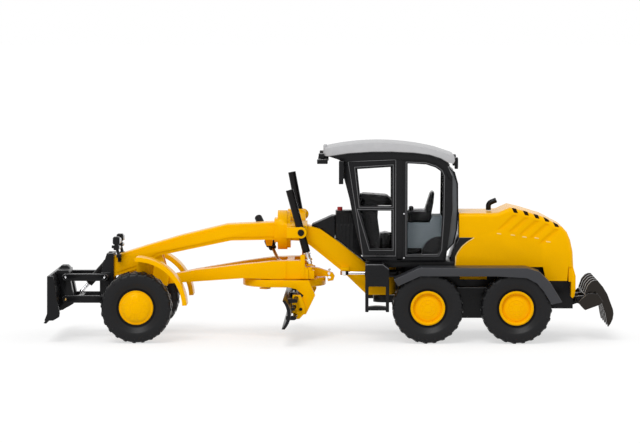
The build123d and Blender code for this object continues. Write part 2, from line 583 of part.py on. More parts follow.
# Front bracket that carries the dozer blade
bracket_line = ((-84.2, 12.6), (-79.1, 12.6), (-79.1, 31.0), (-81.6, 31.0), (-83.2, 26.0), (-84.2, 21.0))
with BuildPart() as front_bracket:
    side_plate(bracket_line, -5.6, 5.6)
    for pin_z in (DOZER_LOWER_Z, DOZER_UPPER_Z):
        block(-83.6, -80.4, -DOZER_LINK_Y + DOZER_LINK_HALF + 0.3, DOZER_LINK_Y - DOZER_LINK_HALF - 0.3,
              pin_z - 1.5, pin_z + 1.5)
        for hand in (-1, 1):
            y_pair = sorted((hand * 4.0, hand * (DOZER_LINK_Y + DOZER_LINK_HALF + 0.4)))
            cross_pin(DOZER_PIN_REAR_X, pin_z, DOZER_PIN_R, *y_pair)
    side_plate(((-85, 19), (-85, 32), (-80.0, 32), (-80.0, 24)), -2.2, 2.2, mode=Mode.SUBTRACT)
    cross_pin(-81.9, 27.2, 0.6, -3.0, 3.0)
front_bracket.part.label = "front_bracket"
export_step(front_bracket.part, "parts/front_bracket.step")

# Links of the dozer blade: name, height of the pins
for link_name, link_z in (("dozer_lower_arms", DOZER_LOWER_Z), ("dozer_upper_links", DOZER_UPPER_Z)):
    with BuildPart() as links:
        link_length = DOZER_PIN_REAR_X - DOZER_PIN_FRONT_X
        for hand in (-1, 1):
            with BuildSketch(Plane.XZ.offset(-hand * DOZER_LINK_Y - DOZER_LINK_HALF)) as link_face:
                with Locations(((DOZER_PIN_REAR_X + DOZER_PIN_FRONT_X) / 2, link_z)):
                    SlotCenterToCenter(link_length, 2 * DOZER_LINK_R)
            extrude(link_face.sketch, amount=2 * DOZER_LINK_HALF)
        if link_name == "dozer_lower_arms":
            mid_x = DOZER_PIN_FRONT_X + 5.0
            block(mid_x - 0.9, mid_x + 0.9, -DOZER_LINK_Y, DOZER_LINK_Y, link_z - 0.9, link_z + 0.9)
        for pin_x in (DOZER_PIN_FRONT_X, DOZER_PIN_REAR_X):
            cross_pin(pin_x, link_z, DOZER_PIN_R + 0.15, -12, 12, mode=Mode.SUBTRACT)
    links.part.label = link_name
    export_step(links.part, f"parts/{link_name}.step")

# Dozer blade: a curved sheet with end plates
DOZER_TOP = (-101.3, 24.3)
DOZER_DEEP = (-99.5, 15.5)
DOZER_TIP = (-102.7, 7.4)
dozer_back_top = (DOZER_TOP[0] + 1.0, DOZER_TOP[1] + 0.2)
dozer_back_deep = (DOZER_DEEP[0] + DOZER_THICK, DOZER_DEEP[1])
dozer_back_tip = (DOZER_TIP[0] + 1.0, DOZER_TIP[1] - 0.2)
dozer_end_line = (
    DOZER_TOP, (-101.4, 10.8), (-102.4, 8.3), (-99.2, 8.3), (-97.0, 9.6), (-96.8, 11.1), (-97.8, 15.4),
    (-99.2, 24.3),
)
with BuildPart() as dozer_blade:
    with BuildSketch(Plane.XZ.offset(-DOZER_HALF)):
        with BuildLine():
            ThreePointArc(DOZER_TOP, DOZER_DEEP, DOZER_TIP)
            Line(DOZER_TIP, dozer_back_tip)
            ThreePointArc(dozer_back_tip, dozer_back_deep, dozer_back_top)
            Line(dozer_back_top, DOZER_TOP)
        make_face()
    extrude(amount=2 * DOZER_HALF)
    for hand in (-1, 1):
        y_pair = sorted((hand * (DOZER_HALF - DOZER_END), hand * DOZER_HALF))
        side_plate(dozer_end_line, *y_pair)
dozer_blade.part.label = "dozer_blade"
export_step(dozer_blade.part, "parts/dozer_blade.step")

# Mast behind the dozer blade: two cheeks with a head over them
mast_y = DOZER_LINK_Y - DOZER_LINK_HALF - 0.3
mast_line = (
    (-99.6, 25.2), (-99.0, 10.2), (-97.6, 10.4), (-93.7, 12.9), (-93.7, 15.4), (-95.3, 23.6), (-95.5, 25.6),
    (-96.4, 26.4), (-98.5, 26.4),
)
with BuildPart() as dozer_mast:
    side_plate(mast_line, -mast_y, mast_y)
    block(-97.4, -90.0, -3.4, 3.4, 9, 23.4, mode=Mode.SUBTRACT)
    for hand in (-1, 1):
        y_pair = sorted((hand * 2.6, hand * (mast_y + 1)))
        block(-100, -90, *y_pair, 25.0, 28.0, mode=Mode.SUBTRACT)
    for pin_z in (DOZER_LOWER_Z, DOZER_UPPER_Z):
        for hand in (-1, 1):
            y_pair = sorted((hand * (mast_y - 1), hand * (DOZER_LINK_Y + DOZER_LINK_HALF + 0.4)))
            cross_pin(DOZER_PIN_FRONT_X, pin_z, DOZER_PIN_R, *y_pair)
    with BuildSketch(Plane.XZ.offset(-DOZER_HALF)) as dozer_room:
        with BuildLine():
            dozer_back = ThreePointArc(dozer_back_tip, dozer_back_deep, dozer_back_top)
            Polyline(dozer_back @ 1, (dozer_back_top[0] - 4, dozer_back_top[1] + 1.5),
                     (dozer_back_tip[0] - 3, dozer_back_tip[1] - 1.2), dozer_back @ 0)
        make_face()
    extrude(dozer_room.sketch, amount=2 * DOZER_HALF, mode=Mode.SUBTRACT)
dozer_mast.part.label = "dozer_mast"
export_step(dozer_mast.part, "parts/dozer_mast.step")

# Dozer cylinder
DOZER_CYL_TOP = (-81.9, 0.0, 27.2)
DOZER_CYL_EYE = (-91.4, 0.0, 16.6)
with BuildPart() as dozer_barrel:
    tube_between(tuple(between(DOZER_CYL_TOP, DOZER_CYL_EYE, 0.6)),
                 tuple(between(DOZER_CYL_TOP, DOZER_CYL_EYE, 10.2)), BARREL_R)
    cross_pin(DOZER_CYL_TOP[0], DOZER_CYL_TOP[2], 1.5, -1.4, 1.4)
    cross_pin(DOZER_CYL_TOP[0], DOZER_CYL_TOP[2], 0.75, -2, 2, mode=Mode.SUBTRACT)
    tube_between(tuple(between(DOZER_CYL_TOP, DOZER_CYL_EYE, 2.0)), DOZER_CYL_EYE, ROD_R + 0.15,
                 mode=Mode.SUBTRACT)
dozer_barrel.part.label = "dozer_barrel"
export_step(dozer_barrel.part, "parts/dozer_barrel.step")
with BuildPart() as dozer_rod:
    tube_between(tuple(between(DOZER_CYL_TOP, DOZER_CYL_EYE, 5.0)),
                 DOZER_CYL_EYE, ROD_R)
    with Locations(DOZER_CYL_EYE):
        Sphere(0.8)
dozer_rod.part.label = "dozer_rod"
export_step(dozer_rod.part, "parts/dozer_rod.step")

# Headlights on stalks: a main lamp over a small one with a round lens in front
LAMP_Y = 8.0
LAMP_X = -77.85
with BuildPart() as headlights:
    # Lamps: height of the middle, length, height, half width
    for lamp_z, lamp_long, lamp_tall, lamp_half in ((35.9, 2.3, 2.8, 1.6), (33.4, 2.0, 1.9, 1.3)):
        with BuildSketch(Plane.XZ.offset(-LAMP_Y - lamp_half)) as lamp_face:
            with Locations((LAMP_X, lamp_z)):
                RectangleRounded(lamp_long, lamp_tall, 0.5)
        extrude(lamp_face.sketch, amount=2 * lamp_half)
    block(LAMP_X - 0.6, LAMP_X + 0.6, LAMP_Y - 0.8, LAMP_Y + 0.8, 34.2, 34.7)
    tube_between((LAMP_X - 1.7, LAMP_Y, 33.6), (LAMP_X - 0.8, LAMP_Y, 33.6), 0.55)
    tube_between((LAMP_X + 0.3, LAMP_Y, 32.6), (-77.0, LAMP_Y, 30.4), 0.55)
    block(-77.8, -76.2, FRAME_HALF + PANEL_RAISE, LAMP_Y + 0.6, 29.6, 30.8)
    block(-77.6, -76.4, FRAME_HALF + PANEL_RAISE, FRAME_HALF + PANEL_RAISE + 0.6, 27.9, 29.8)
    mirror(about=Plane.XZ)
headlights.part.label = "headlights"
export_step(headlights.part, "parts/headlights.step")

# Fairing on the gooseneck in front of the cab, its back rounded about the hitch
NOSE_R = 18.05
NOSE_GAP = 0.4
NOSE_HALF = 3.4
with BuildPart() as neck_fairing:
    side_plate(((-6.7, 41.6), (-6.7, 40.9), (-3.7, 40.1), (2.2, 35.95), (2.2, 44.9), (0.6, 44.9)),
               -NOSE_HALF + 0.2, NOSE_HALF - 0.2)
    upright_pin(HITCH_X, 0, NOSE_R + NOSE_GAP, 30, 50, mode=Mode.SUBTRACT)
neck_fairing.part.label = "neck_fairing"
export_step(neck_fairing.part, "parts/neck_fairing.step")

# Rear frame: chassis, deck, hitch ears with the pin, and the tandem axle housing
ear_low = HITCH_BOTTOM - HITCH_GAP
ear_high = HITCH_TOP + HITCH_GAP
deck_bottom = DECK_TOP - DECK_THICK
rail_inner = 11.2
with BuildPart() as rear_frame:
    block(25.6, 80.0, -REAR_HALF, REAR_HALF, CHASSIS_BOTTOM, deck_bottom)
    block(80.0, 88.5, -REAR_HALF, REAR_HALF, 11.3, 25.6)
    block(24.0, 45.0, -DECK_HALF, DECK_HALF, deck_bottom, DECK_TOP)
    for hand in (-1, 1):
        y_pair = sorted((hand * rail_inner, hand * DECK_HALF))
        block(13.0, 24.0, *y_pair, deck_bottom, DECK_TOP)
    for ear_z, ear_top in ((ear_low - 2.4, ear_low), (ear_high, DECK_TOP)):
        block(HITCH_X, 26.0, -HITCH_R, HITCH_R, ear_z, ear_top)
        upright_pin(HITCH_X, 0, HITCH_R, ear_z, ear_top)
    upright_pin(HITCH_X, 0, HITCH_PIN_R, ear_low, ear_high)
    cross_pin(TANDEM_X, WHEEL_R + 1.2, 4.2, -CASE_INNER, CASE_INNER)
    for hand in (-1, 1):
        upright_pin(ARTIC_PIN_X, hand * ARTIC_PIN_Y, 1.5, ARTIC_Z + 1.6, deck_bottom)
        upright_pin(ARTIC_PIN_X, hand * ARTIC_PIN_Y, ARTIC_PIN_R, ARTIC_Z - 0.9, deck_bottom)
        # Ears for the ripper
        y_pair = sorted((hand * (RIPPER_ARM_Y - 1.5), hand * (RIPPER_ARM_Y - 0.3)))
        side_plate(((88.4, 12.4), (RIPPER_PIN_X, RIPPER_PIN_Z - 1.2), (RIPPER_PIN_X, RIPPER_PIN_Z + 1.1),
                    (88.4, 15.5)), *y_pair)
        cross_pin(RIPPER_PIN_X, RIPPER_PIN_Z, 1.2, *y_pair)
        y_pair = sorted((hand * (RIPPER_ARM_Y - 1.5), hand * (RIPPER_ARM_Y + 1.9)))
        cross_pin(RIPPER_PIN_X, RIPPER_PIN_Z, RIPPER_PIN_R, *y_pair)
    # Rear bar, thinner at its top and bottom
    side_plate(((87.5, 16.0), (88.1, 15.6), (88.7, 16.4), (89.1, 19.0), (89.1, 23.6), (88.2, 26.9),
                (87.5, 26.9)),
               -14.0, 14.0)
rear_frame.part.label = "rear_frame"
export_step(rear_frame.part, "parts/rear_frame.step")

# Tandem cases with the stub axles
with BuildPart() as tandem_cases:
    with BuildSketch(Plane.XZ.offset(-CASE_OUTER)) as case_face:
        with Locations((TANDEM_X, WHEEL_R + 1.2)):
            SlotCenterToCenter(TANDEM_BASE, CASE_HEIGHT)
    extrude(case_face.sketch, amount=CASE_OUTER - CASE_INNER)
    for wheel_x in (tandem_front_x, tandem_rear_x):
        cross_pin(wheel_x, WHEEL_R, STUB_R, CASE_OUTER, TRACK / 2 + 0.3)
        cross_pin(wheel_x, WHEEL_R, 2.6, CASE_OUTER, CASE_OUTER + 1.6)
    mirror(about=Plane.XZ)
tandem_cases.part.label = "tandem_cases"
export_step(tandem_cases.part, "parts/tandem_cases.step")

# Articulation cylinders
for side, hand in SIDES:
    artic_pin = (ARTIC_PIN_X, hand * ARTIC_PIN_Y, ARTIC_Z)
    artic_eye = (ARTIC_EYE_X, hand * ARTIC_EYE_Y, ARTIC_Z)
    with BuildPart() as artic_barrel:
        tube_between(tuple(between(artic_pin, artic_eye, 1.0)), tuple(between(artic_pin, artic_eye, 12.6)),
                     BARREL_R)
        upright_pin(*artic_pin[:2], 1.5, ARTIC_Z - 0.8, ARTIC_Z + 0.8)
        upright_pin(*artic_pin[:2], ARTIC_PIN_R + 0.15, ARTIC_Z - 2, ARTIC_Z + 2, mode=Mode.SUBTRACT)
        tube_between(tuple(between(artic_pin, artic_eye, 2.4)), artic_eye, ROD_R + 0.15, mode=Mode.SUBTRACT)
    artic_barrel.part.label = f"artic_barrel_{side}"
    export_step(artic_barrel.part, f"parts/artic_barrel_{side}.step")
    with BuildPart() as artic_rod:
        tube_between(tuple(between(artic_pin, artic_eye, 6.4)), artic_eye, ROD_R)
        upright_pin(*artic_eye[:2], 1.6, ARTIC_Z - 0.7, ARTIC_Z + 0.7)
        upright_pin(*artic_eye[:2], ARTIC_PIN_R + ARTIC_EYE_PLAY, ARTIC_Z - 2, ARTIC_Z + 2,
                    mode=Mode.SUBTRACT)
    artic_rod.part.label = f"artic_rod_{side}"
    export_step(artic_rod.part, f"parts/artic_rod_{side}.step")

# Rear fenders: side outline of the top sheet and of the skirt
fender_top_line = ((23.2, 23.3), (32.6, 27.5), (70.7, 27.5), (75.2, 26.2), (79.3, 22.1), (83.4, 15.3))
fender_under_line = ((82.4, 14.9), (78.5, 21.4), (74.6, 25.3), (70.5, 26.5), (32.8, 26.5), (23.6, 22.4))
skirt_under_line = ((79.7, 14.4), (77.0, 18.9), (74.4, 22.0), (70.7, 23.9), (60, 24.5), (32.6, 24.5),
                    (24.6, 20.9))
with BuildPart() as rear_fenders:
    side_plate(fender_top_line + fender_under_line, DECK_HALF, FENDER_OUTER)
    side_plate(fender_top_line + skirt_under_line, FENDER_OUTER - REAR_SKIRT, FENDER_OUTER)
    mirror(about=Plane.XZ)
rear_fenders.part.label = "rear_fenders"
export_step(rear_fenders.part, "parts/rear_fenders.step")

# Steps at the front corners of the cab: a closed box with a ladder under it
STEP_FRONT = 12.9
STEP_REAR = 21.5
STEP_OUTER = 24.6
STEP_BOX_LOW = 20.6
LADDER_LOW = 11.4
LADDER_BAR = 1.2
with BuildPart() as steps:
    side_plate(((STEP_FRONT, STEP_BOX_LOW), (STEP_FRONT, DECK_TOP - 0.2), (STEP_REAR - 2.2, DECK_TOP - 0.2),
                (STEP_REAR, DECK_TOP - 1.9), (STEP_REAR, STEP_BOX_LOW)), DECK_HALF, STEP_OUTER)
    for rail_x in (STEP_FRONT, STEP_REAR - LADDER_BAR):
        block(rail_x, rail_x + LADDER_BAR, STEP_OUTER - LADDER_BAR, STEP_OUTER, LADDER_LOW, STEP_BOX_LOW)
    with BuildSketch(Plane.XZ.offset(-STEP_OUTER)) as rung_face:
        with BuildLine():
            rung_low = Line((STEP_FRONT, 12.0), (STEP_REAR, 12.0))
            rung_high = ThreePointArc((STEP_FRONT, 13.2), ((STEP_FRONT + STEP_REAR) / 2, 13.7),
                                      (STEP_REAR, 13.2))
            Line(rung_low @ 0, rung_high @ 0)
            Line(rung_low @ 1, rung_high @ 1)
        make_face()
    extrude(rung_face.sketch, amount=2.0)
    mirror(about=Plane.XZ)
steps.part.label = "steps"
export_step(steps.part, "parts/steps.step")

# Cab shell, hollow, with its windows cut
cab_outline = (
    (14.6, 28.9), (12.0, 30.4), (8.8, 43.4), (7.2, 51.6), (5.2, 59.2), (5.0, 66.2), (18.0, 67.4),
    (34.0, 67.0),
    (39.8, 65.6), (42.9, 63.4), (44.4, 60.2), (44.4, 47.6), (43.1, 37.2), (41.9, 28.9),
)
# Upper and lower door window, rear side window
side_windows = (
    ((9.8, 62.4), (22.3, 63.2), (22.3, 49.1), (11.2, 49.1)),
    ((10.8, 47.5), (22.5, 47.5), (22.5, 33.6), (14.8, 33.6)),
    ((28.2, 64.5), (34.9, 64.1), (38.2, 63.0), (40.1, 61.7), (40.9, 59.9), (40.7, 45.0), (39.9, 33.0),
     (39.0, 31.6), (28.2, 31.6)),
)
cab_inner = CAB_HALF - CAB_WALL
REAR_PANE_HALF = 11.4
# The rear pane bulges out behind the cab
rear_pane_line = (
    (43.1, 62.97), (45.3, 61.0), (46.4, 57.0), (46.5, 47.0), (46.1, 40.0), (45.0, 35.4), (42.45, 32.6),
    (43.1, 37.2), (44.4, 47.6), (44.4, 60.2),
)
with BuildPart() as cab_shell:
    side_plate(cab_outline, -CAB_HALF, CAB_HALF)
    with BuildSketch(Plane.XZ.offset(-cab_inner)) as cab_room:
        with BuildLine():
            Polyline(*cab_outline, close=True)
        make_face()
        offset(amount=-CAB_WALL, kind=Kind.INTERSECTION)
    extrude(cab_room.sketch, amount=2 * cab_inner, mode=Mode.SUBTRACT)
    block(8, 38.0, -cab_inner, cab_inner, 62, 70, mode=Mode.SUBTRACT)
    for window in side_windows:
        side_plate(window, -CAB_HALF - 1, CAB_HALF + 1, mode=Mode.SUBTRACT)
    block(0, 12, -13.2, 13.2, 49.4, 63.6, mode=Mode.SUBTRACT)
    for window_low, window_high in ((-13.2, -0.9), (0.9, 13.2)):
        block(5, 14, window_low, window_high, 33.6, 46.4, mode=Mode.SUBTRACT)
    block(40, 48, -REAR_PANE_HALF + GLASS_THICK, REAR_PANE_HALF - GLASS_THICK, 35.0, 61.6, mode=Mode.SUBTRACT)
cab_shell.part.label = "cab_shell"
export_step(cab_shell.part, "parts/cab_shell.step")

# Window panes: flat ones just inside the shell, and the bulged one behind it
with BuildPart() as side_glass:
    with BuildSketch(Plane.XZ.offset(-cab_inner)) as pane_room:
        with BuildLine():
            Polyline(*cab_outline, close=True)
        make_face()
        offset(amount=-CAB_WALL - GLASS_THICK - 0.1, kind=Kind.INTERSECTION)
    extrude(pane_room.sketch, amount=GLASS_THICK)
    block(0, 50, 0, 20, 20, 31.5, mode=Mode.SUBTRACT)
    block(23.4, 27.3, 0, 20, 30, 70, mode=Mode.SUBTRACT)
    mirror(about=Plane.XZ)
with BuildPart() as front_glass:
    for inset, glass_mode in ((CAB_WALL, Mode.ADD), (CAB_WALL + GLASS_THICK, Mode.SUBTRACT)):
        with BuildSketch(Plane.XZ.offset(-13.9)) as pane_line:
            with BuildLine():
                Polyline(*cab_outline, close=True)
            make_face()
            offset(amount=-inset, kind=Kind.INTERSECTION)
        extrude(pane_line.sketch, amount=27.8, mode=glass_mode)
    block(13.5, 60.0, -20, 20, 20, 80, mode=Mode.SUBTRACT)
    block(0, 60, -20, 20, 20, 32.6, mode=Mode.SUBTRACT)
    block(0, 60, -20, 20, 64.2, 80, mode=Mode.SUBTRACT)
with BuildPart() as rear_glass:
    side_plate(rear_pane_line, -REAR_PANE_HALF, REAR_PANE_HALF)
    with BuildSketch(Plane.XZ.offset(-REAR_PANE_HALF + GLASS_THICK)) as pane_hollow:
        with BuildLine():
            Polyline(*rear_pane_line, close=True)
        make_face()
        offset(amount=-GLASS_THICK, kind=Kind.INTERSECTION)
    extrude(pane_hollow.sketch, amount=2 * (REAR_PANE_HALF - GLASS_THICK), mode=Mode.SUBTRACT)
    block(43.0, 44.9, -REAR_PANE_HALF + GLASS_THICK, REAR_PANE_HALF - GLASS_THICK, 36.4, 60.6,
          mode=Mode.SUBTRACT)
with BuildPart() as cab_glass:
    add(side_glass.part)
    add(front_glass.part)
    add(rear_glass.part)
cab_glass.part.label = "cab_glass"
export_step(cab_glass.part, "parts/cab_glass.step")

# Ribbed housing on the cab front, over the gooseneck, with a filler cap
NOSE_TOP = 46.3
NOSE_SHELF = 41.6
NECK_CLEARANCE = 0.9
neck_slope = (HITCH_TOP - 35.0) / (HITCH_X - 5.0 - 3.4)


def over_neck(x):
    """The height that clears the top of the gooseneck there."""
    return 35.0 + neck_slope * (x - 3.4) + NECK_CLEARANCE


with BuildPart() as front_box:
    side_plate(((1.5, over_neck(1.5)), (1.5, NOSE_TOP), (8.2, NOSE_TOP), (8.75, 43.4), (11.9, 30.5),
                (10.9, over_neck(10.9))), -NOSE_HALF, NOSE_HALF)
    block(1.5, 8.0, -NOSE_HALF - 0.3, NOSE_HALF + 0.3, NOSE_TOP - 0.6, NOSE_TOP + 0.3)
    for hand in (-1, 1):
        y_pair = sorted((hand * NOSE_HALF, hand * (NOSE_HALF + 0.25)))
        for rib in range(6):
            rib_x = 2.5 + 0.95 * rib
            block(rib_x, rib_x + 0.45, *y_pair, NOSE_SHELF + 0.3, NOSE_TOP - 0.6)
        for rib in range(5):
            rib_x = 2.5 + 1.4 * rib
            block(rib_x, rib_x + 0.5, *y_pair, over_neck(rib_x) + 0.4, NOSE_SHELF - 0.2)
    upright_pin(HITCH_X, 0, NOSE_R, 20, 60, mode=Mode.INTERSECT)
    upright_pin(3.6, -1.4, 0.95, NOSE_TOP, 47.9)
front_box.part.label = "front_box"
export_step(front_box.part, "parts/front_box.step")

# Cab interior: floor, seat stand, wheel boxes, console with the steering wheel
console_line = (
    (15.0, 31.0), (12.2, 38.0), (10.7, 44.0), (9.6, 50.6), (10.2, 52.4), (15.4, 51.6), (17.6, 48.6),
    (17.4, 44.0),
    (18.2, 38.0), (18.6, 31.0),
)
stand_line = ((28.2, 31.0), (28.2, 42.6), (36.4, 42.6), (37.2, 44.8), (40.8, 44.8), (40.8, 31.0))
WHEEL_BOX_R = 6.4
with BuildPart() as cab_interior:
    block(15.8, 40.8, -14.2, 14.2, 29.9, 31.4)
    side_plate(stand_line, -9.0, 9.0)
    with BuildSketch(Plane.XZ.offset(-14.2)) as wheel_box:
        with Locations((39.8, 31.2)):
            Circle(WHEEL_BOX_R)
        with Locations((47.8, 31.2)):
            Rectangle(14.0, 20.0, mode=Mode.SUBTRACT)
        with Locations((36.0, 26.2)):
            Rectangle(20.0, 10.0, mode=Mode.SUBTRACT)
    extrude(wheel_box.sketch, amount=28.4)
    side_plate(console_line, -6.0, 6.0)
    tube_between((15.0, 0, 48.0), (18.6, 0, 51.0), 0.7)
    with BuildSketch(Plane(origin=(18.6, 0, 51.0), z_dir=(2.6, 0, 6.8))) as wheel_face:
        Circle(3.6)
        Circle(2.9, mode=Mode.SUBTRACT)
        Rectangle(6.4, 0.8)
    extrude(wheel_face.sketch, amount=0.7)
cab_interior.part.label = "cab_interior"
export_step(cab_interior.part, "parts/cab_interior.step")
with BuildPart() as seat:
    side_plate(((28.4, 42.6), (28.4, 46.0), (29.0, 46.9), (34.6, 46.9), (36.5, 52.8), (37.2, 53.8),
                (38.1, 53.5),
                (37.8, 49.8), (36.9, 45.0), (36.2, 42.6)), -5.8, 5.8)
seat.part.label = "seat"
export_step(seat.part, "parts/seat.step")

# Roof and the dark rim under it: the line where they meet, from front to rear
roof_seam = (
    (-0.7, 67.1), (6.8, 68.2), (15.0, 68.75), (22.4, 68.8), (30.7, 68.4), (36.1, 67.7), (40.2, 66.4),
    (42.7, 64.9),
)
rim_half = CAB_HALF + 0.5
cab_top = ((42.9, 63.4), (39.8, 65.6), (34.0, 67.0), (18.0, 67.4), (5.0, 66.2), (3.0, 65.9))
rim_low = ((5.0, 64.9), (18.0, 65.9), (34.0, 65.6), (39.0, 64.2), (41.6, 62.2), (43.2, 58.8), (44.4, 58.8))
with BuildPart() as roof_rim:
    side_plate(roof_seam + ((43.5, 63.9),) + cab_top, -rim_half, rim_half)
    for hand in (-1, 1):
        y_pair = sorted((hand * CAB_HALF, hand * rim_half))
        side_plate(((44.4, 60.2),) + cab_top + rim_low, *y_pair)
roof_rim.part.label = "roof_rim"
export_step(roof_rim.part, "parts/roof_rim.step")
ROOF_LIP_HALF = 6.0
with BuildPart() as roof:
    with BuildSketch(Plane.XZ.offset(-ROOF_HALF)):
        with BuildLine():
            roof_crown = ThreePointArc((-1.7, 69.8), (19.0, 71.9), (38.5, 69.4))
            Polyline(roof_crown @ 1, (45.0, 67.2), (45.2, 65.4), (44.6, 64.4), *reversed(roof_seam),
                     (-1.7, 67.1),
                     roof_crown @ 0)
        make_face()
    extrude(amount=2 * ROOF_HALF)
    fillet(roof.edges().filter_by(Axis.Z), 3.0)
    block(-2.4, -1.2, -ROOF_LIP_HALF, ROOF_LIP_HALF, 66.8, 70.6)
roof.part.label = "roof"
export_step(roof.part, "parts/roof.step")

# Hood: a raised rear part with five louvres in each shoulder, and flutes below them
hood_side = (
    (46.9, 27.0), (46.9, 46.4), (58.6, 46.4), (61.0, 46.6), (65.2, 48.5), (69.7, 47.4), (77.2, 45.1),
    (84.2, 41.4),
    (85.9, 39.5), (87.1, 36.6), (88.0, 32.4), (88.3, 26.9),
)
HOOD_SHOULDER = 1.6
# Louvres: middle of each slot in the shoulder
LOUVRES = ((67.0, 47.1), (71.0, 46.2), (74.8, 45.1), (78.4, 43.9), (81.9, 42.0))
SLOT_LONG = 2.3
SLOT_TALL = 1.5
SLOT_DEEP = 1.8
FLUTE_DEEP = 0.35
FLUTE_LOW = 6.4
FLUTE_LEAN = 5.2
with BuildPart() as hood:
    side_plate(hood_side, -HOOD_HALF, HOOD_HALF)
    shoulder_edges = (hood.edges().filter_by(GeomType.LINE)
                      .filter_by(lambda edge: abs(edge.center().Y) > HOOD_HALF - 0.1)
                      .filter_by(lambda edge: edge.center().X > 47.0 and edge.center().Z > 27.5))
    fillet(shoulder_edges, HOOD_SHOULDER)
    side_plate(((77.2, 27.0), (86.4, 27.0), (86.0, 21.9), (78.4, 21.9)), -HOOD_HALF, HOOD_HALF)
    block(70, 90, -REAR_HALF - 0.2, REAR_HALF + 0.2, 20, 26.9, mode=Mode.SUBTRACT)
    for hand in (-1, 1):
        for slot_x, slot_z in LOUVRES:
            y_pair = sorted((hand * (HOOD_HALF - SLOT_DEEP), hand * (HOOD_HALF + 1)))
            side_plate(((slot_x - SLOT_LONG / 2, slot_z + 1.2), (slot_x + SLOT_LONG / 2 - 0.7, slot_z + 1.0),
                        (slot_x + SLOT_LONG / 2, slot_z - SLOT_TALL / 2), (slot_x - SLOT_LONG / 2 + 0.8,
                                                                          slot_z - SLOT_TALL / 2 + 0.2)),
                       *y_pair, mode=Mode.SUBTRACT)
            y_pair = sorted((hand * (HOOD_HALF - FLUTE_DEEP), hand * (HOOD_HALF + 1)))
            side_plate(((slot_x - 0.6, slot_z - SLOT_TALL / 2 - 0.5),
                        (slot_x + 0.9, slot_z - SLOT_TALL / 2 - 0.8),
                        (slot_x + 1.2 - FLUTE_LEAN, slot_z - FLUTE_LOW),
                        (slot_x - 0.9 - FLUTE_LEAN, slot_z - FLUTE_LOW)),
                       *y_pair, mode=Mode.SUBTRACT)
    # Room for the dark panel
    side_plate(((44, 37.6), (52.1, 37.6), (47.8, 34.3), (45.6, 30.8), (45.4, 26.0), (44, 26.0)),
               -HOOD_HALF - 1, HOOD_HALF + 1, mode=Mode.SUBTRACT)
hood.part.label = "hood"
export_step(hood.part, "parts/hood.step")
with BuildPart() as hood_panel:
    side_plate(((46.9, 37.6), (52.1, 37.6), (47.8, 34.3), (45.6, 30.8), (45.4, 27.0), (45.0, 27.0),
                (45.0, 28.8),
                (43.7, 28.8), (44.5, 31.6), (45.9, 35.4)), -HOOD_HALF, HOOD_HALF)
hood_panel.part.label = "hood_panel"
export_step(hood_panel.part, "parts/hood_panel.step")

# Ripper: a cross beam with end plates, and shanks that arch over it to their points
ripper_beam = (
    (92.5, 14.4), (92.1, 12.3), (92.6, 11.8), (97.2, 13.4), (98.8, 14.6), (96.8, 17.5), (94.4, 17.5),
    (92.3, 16.9),
)
ripper_end = ((89.6, 14.4), (91.6, 12.2), (92.3, 11.6), (97.2, 13.4), (98.8, 14.6), (96.8, 17.5),
              (93.4, 17.6))
shank_line = (
    (92.2, 17.2), (93.3, 20.3), (94.6, 21.8), (95.7, 22.3), (96.8, 22.3), (98.8, 19.9), (100.4, 17.3),
    (101.5, 14.4),
    (102.5, 11.7), (102.7, 10.1), (102.4, 8.2), (101.7, 6.6), (100.7, 5.3), (100.2, 7.4), (99.7, 10.4),
    (98.5, 13.6), (97.0, 16.6), (95.9, 18.4), (94.8, 17.0),
)
RIPPER_END_THICK = 1.2
with BuildPart() as ripper:
    side_plate(ripper_beam, -RIPPER_HALF, RIPPER_HALF)
    for hand in (-1, 1):
        y_pair = sorted((hand * (RIPPER_HALF - RIPPER_END_THICK), hand * RIPPER_HALF))
        side_plate(ripper_end, *y_pair)
        y_pair = sorted((hand * RIPPER_ARM_Y, hand * (RIPPER_ARM_Y + 1.5)))
        side_plate(((RIPPER_PIN_X, RIPPER_PIN_Z - 1.4), (93.6, 12.6), (93.6, 16.0),
                    (RIPPER_PIN_X, RIPPER_PIN_Z + 1.4)), *y_pair)
        cross_pin(RIPPER_PIN_X, RIPPER_PIN_Z, 1.4, *y_pair)
        cross_pin(RIPPER_PIN_X, RIPPER_PIN_Z, RIPPER_PIN_R + 0.15, *y_pair, mode=Mode.SUBTRACT)
    for tine in range(TINE_COUNT):
        tine_y = (tine - (TINE_COUNT - 1) / 2) * TINE_PITCH
        side_plate(shank_line, tine_y - TINE_THICK / 2, tine_y + TINE_THICK / 2)
ripper.part.label = "ripper"
export_step(ripper.part, "parts/ripper.step")

# Mirrors, work lights and exhaust
with BuildPart() as mirrors:
    block(3.4, 5.0, 17.4, 20.8, 57.2, 65.4)
    tube_between((4.2, 19.0, 64.2), (5.9, 16.35, 64.2), 0.4)
    mirror(about=Plane.XZ)
mirrors.part.label = "mirrors"
export_step(mirrors.part, "parts/mirrors.step")
with BuildPart() as work_lights:
    # Front pair: a small lamp over a larger one, hung under the roof
    block(-4.0, -1.9, 11.4, 14.6, 66.3, 68.0)
    block(-4.5, -0.7, 11.0, 15.0, 64.2, 65.9)
    block(-3.2, -1.9, 12.2, 13.8, 65.8, 66.4)
    block(-2.0, -0.9, 12.2, 13.8, 66.3, 67.1)
    # Rear pair
    block(45.2, 46.4, 11.4, 14.4, 62.4, 66.6)
    mirror(about=Plane.XZ)
work_lights.part.label = "work_lights"
export_step(work_lights.part, "parts/work_lights.step")
with BuildPart() as exhaust:
    with BuildLine():
        FilletPolyline((58.0, 0, 46.7), (58.0, 0, 49.2), (60.9, 0, 50.4), radius=1.6)
    with BuildSketch(Plane.XY.offset(46.7)):
        with Locations((58.0, 0)):
            Circle(0.95)
    sweep()
exhaust.part.label = "exhaust"
export_step(exhaust.part, "parts/exhaust.step")
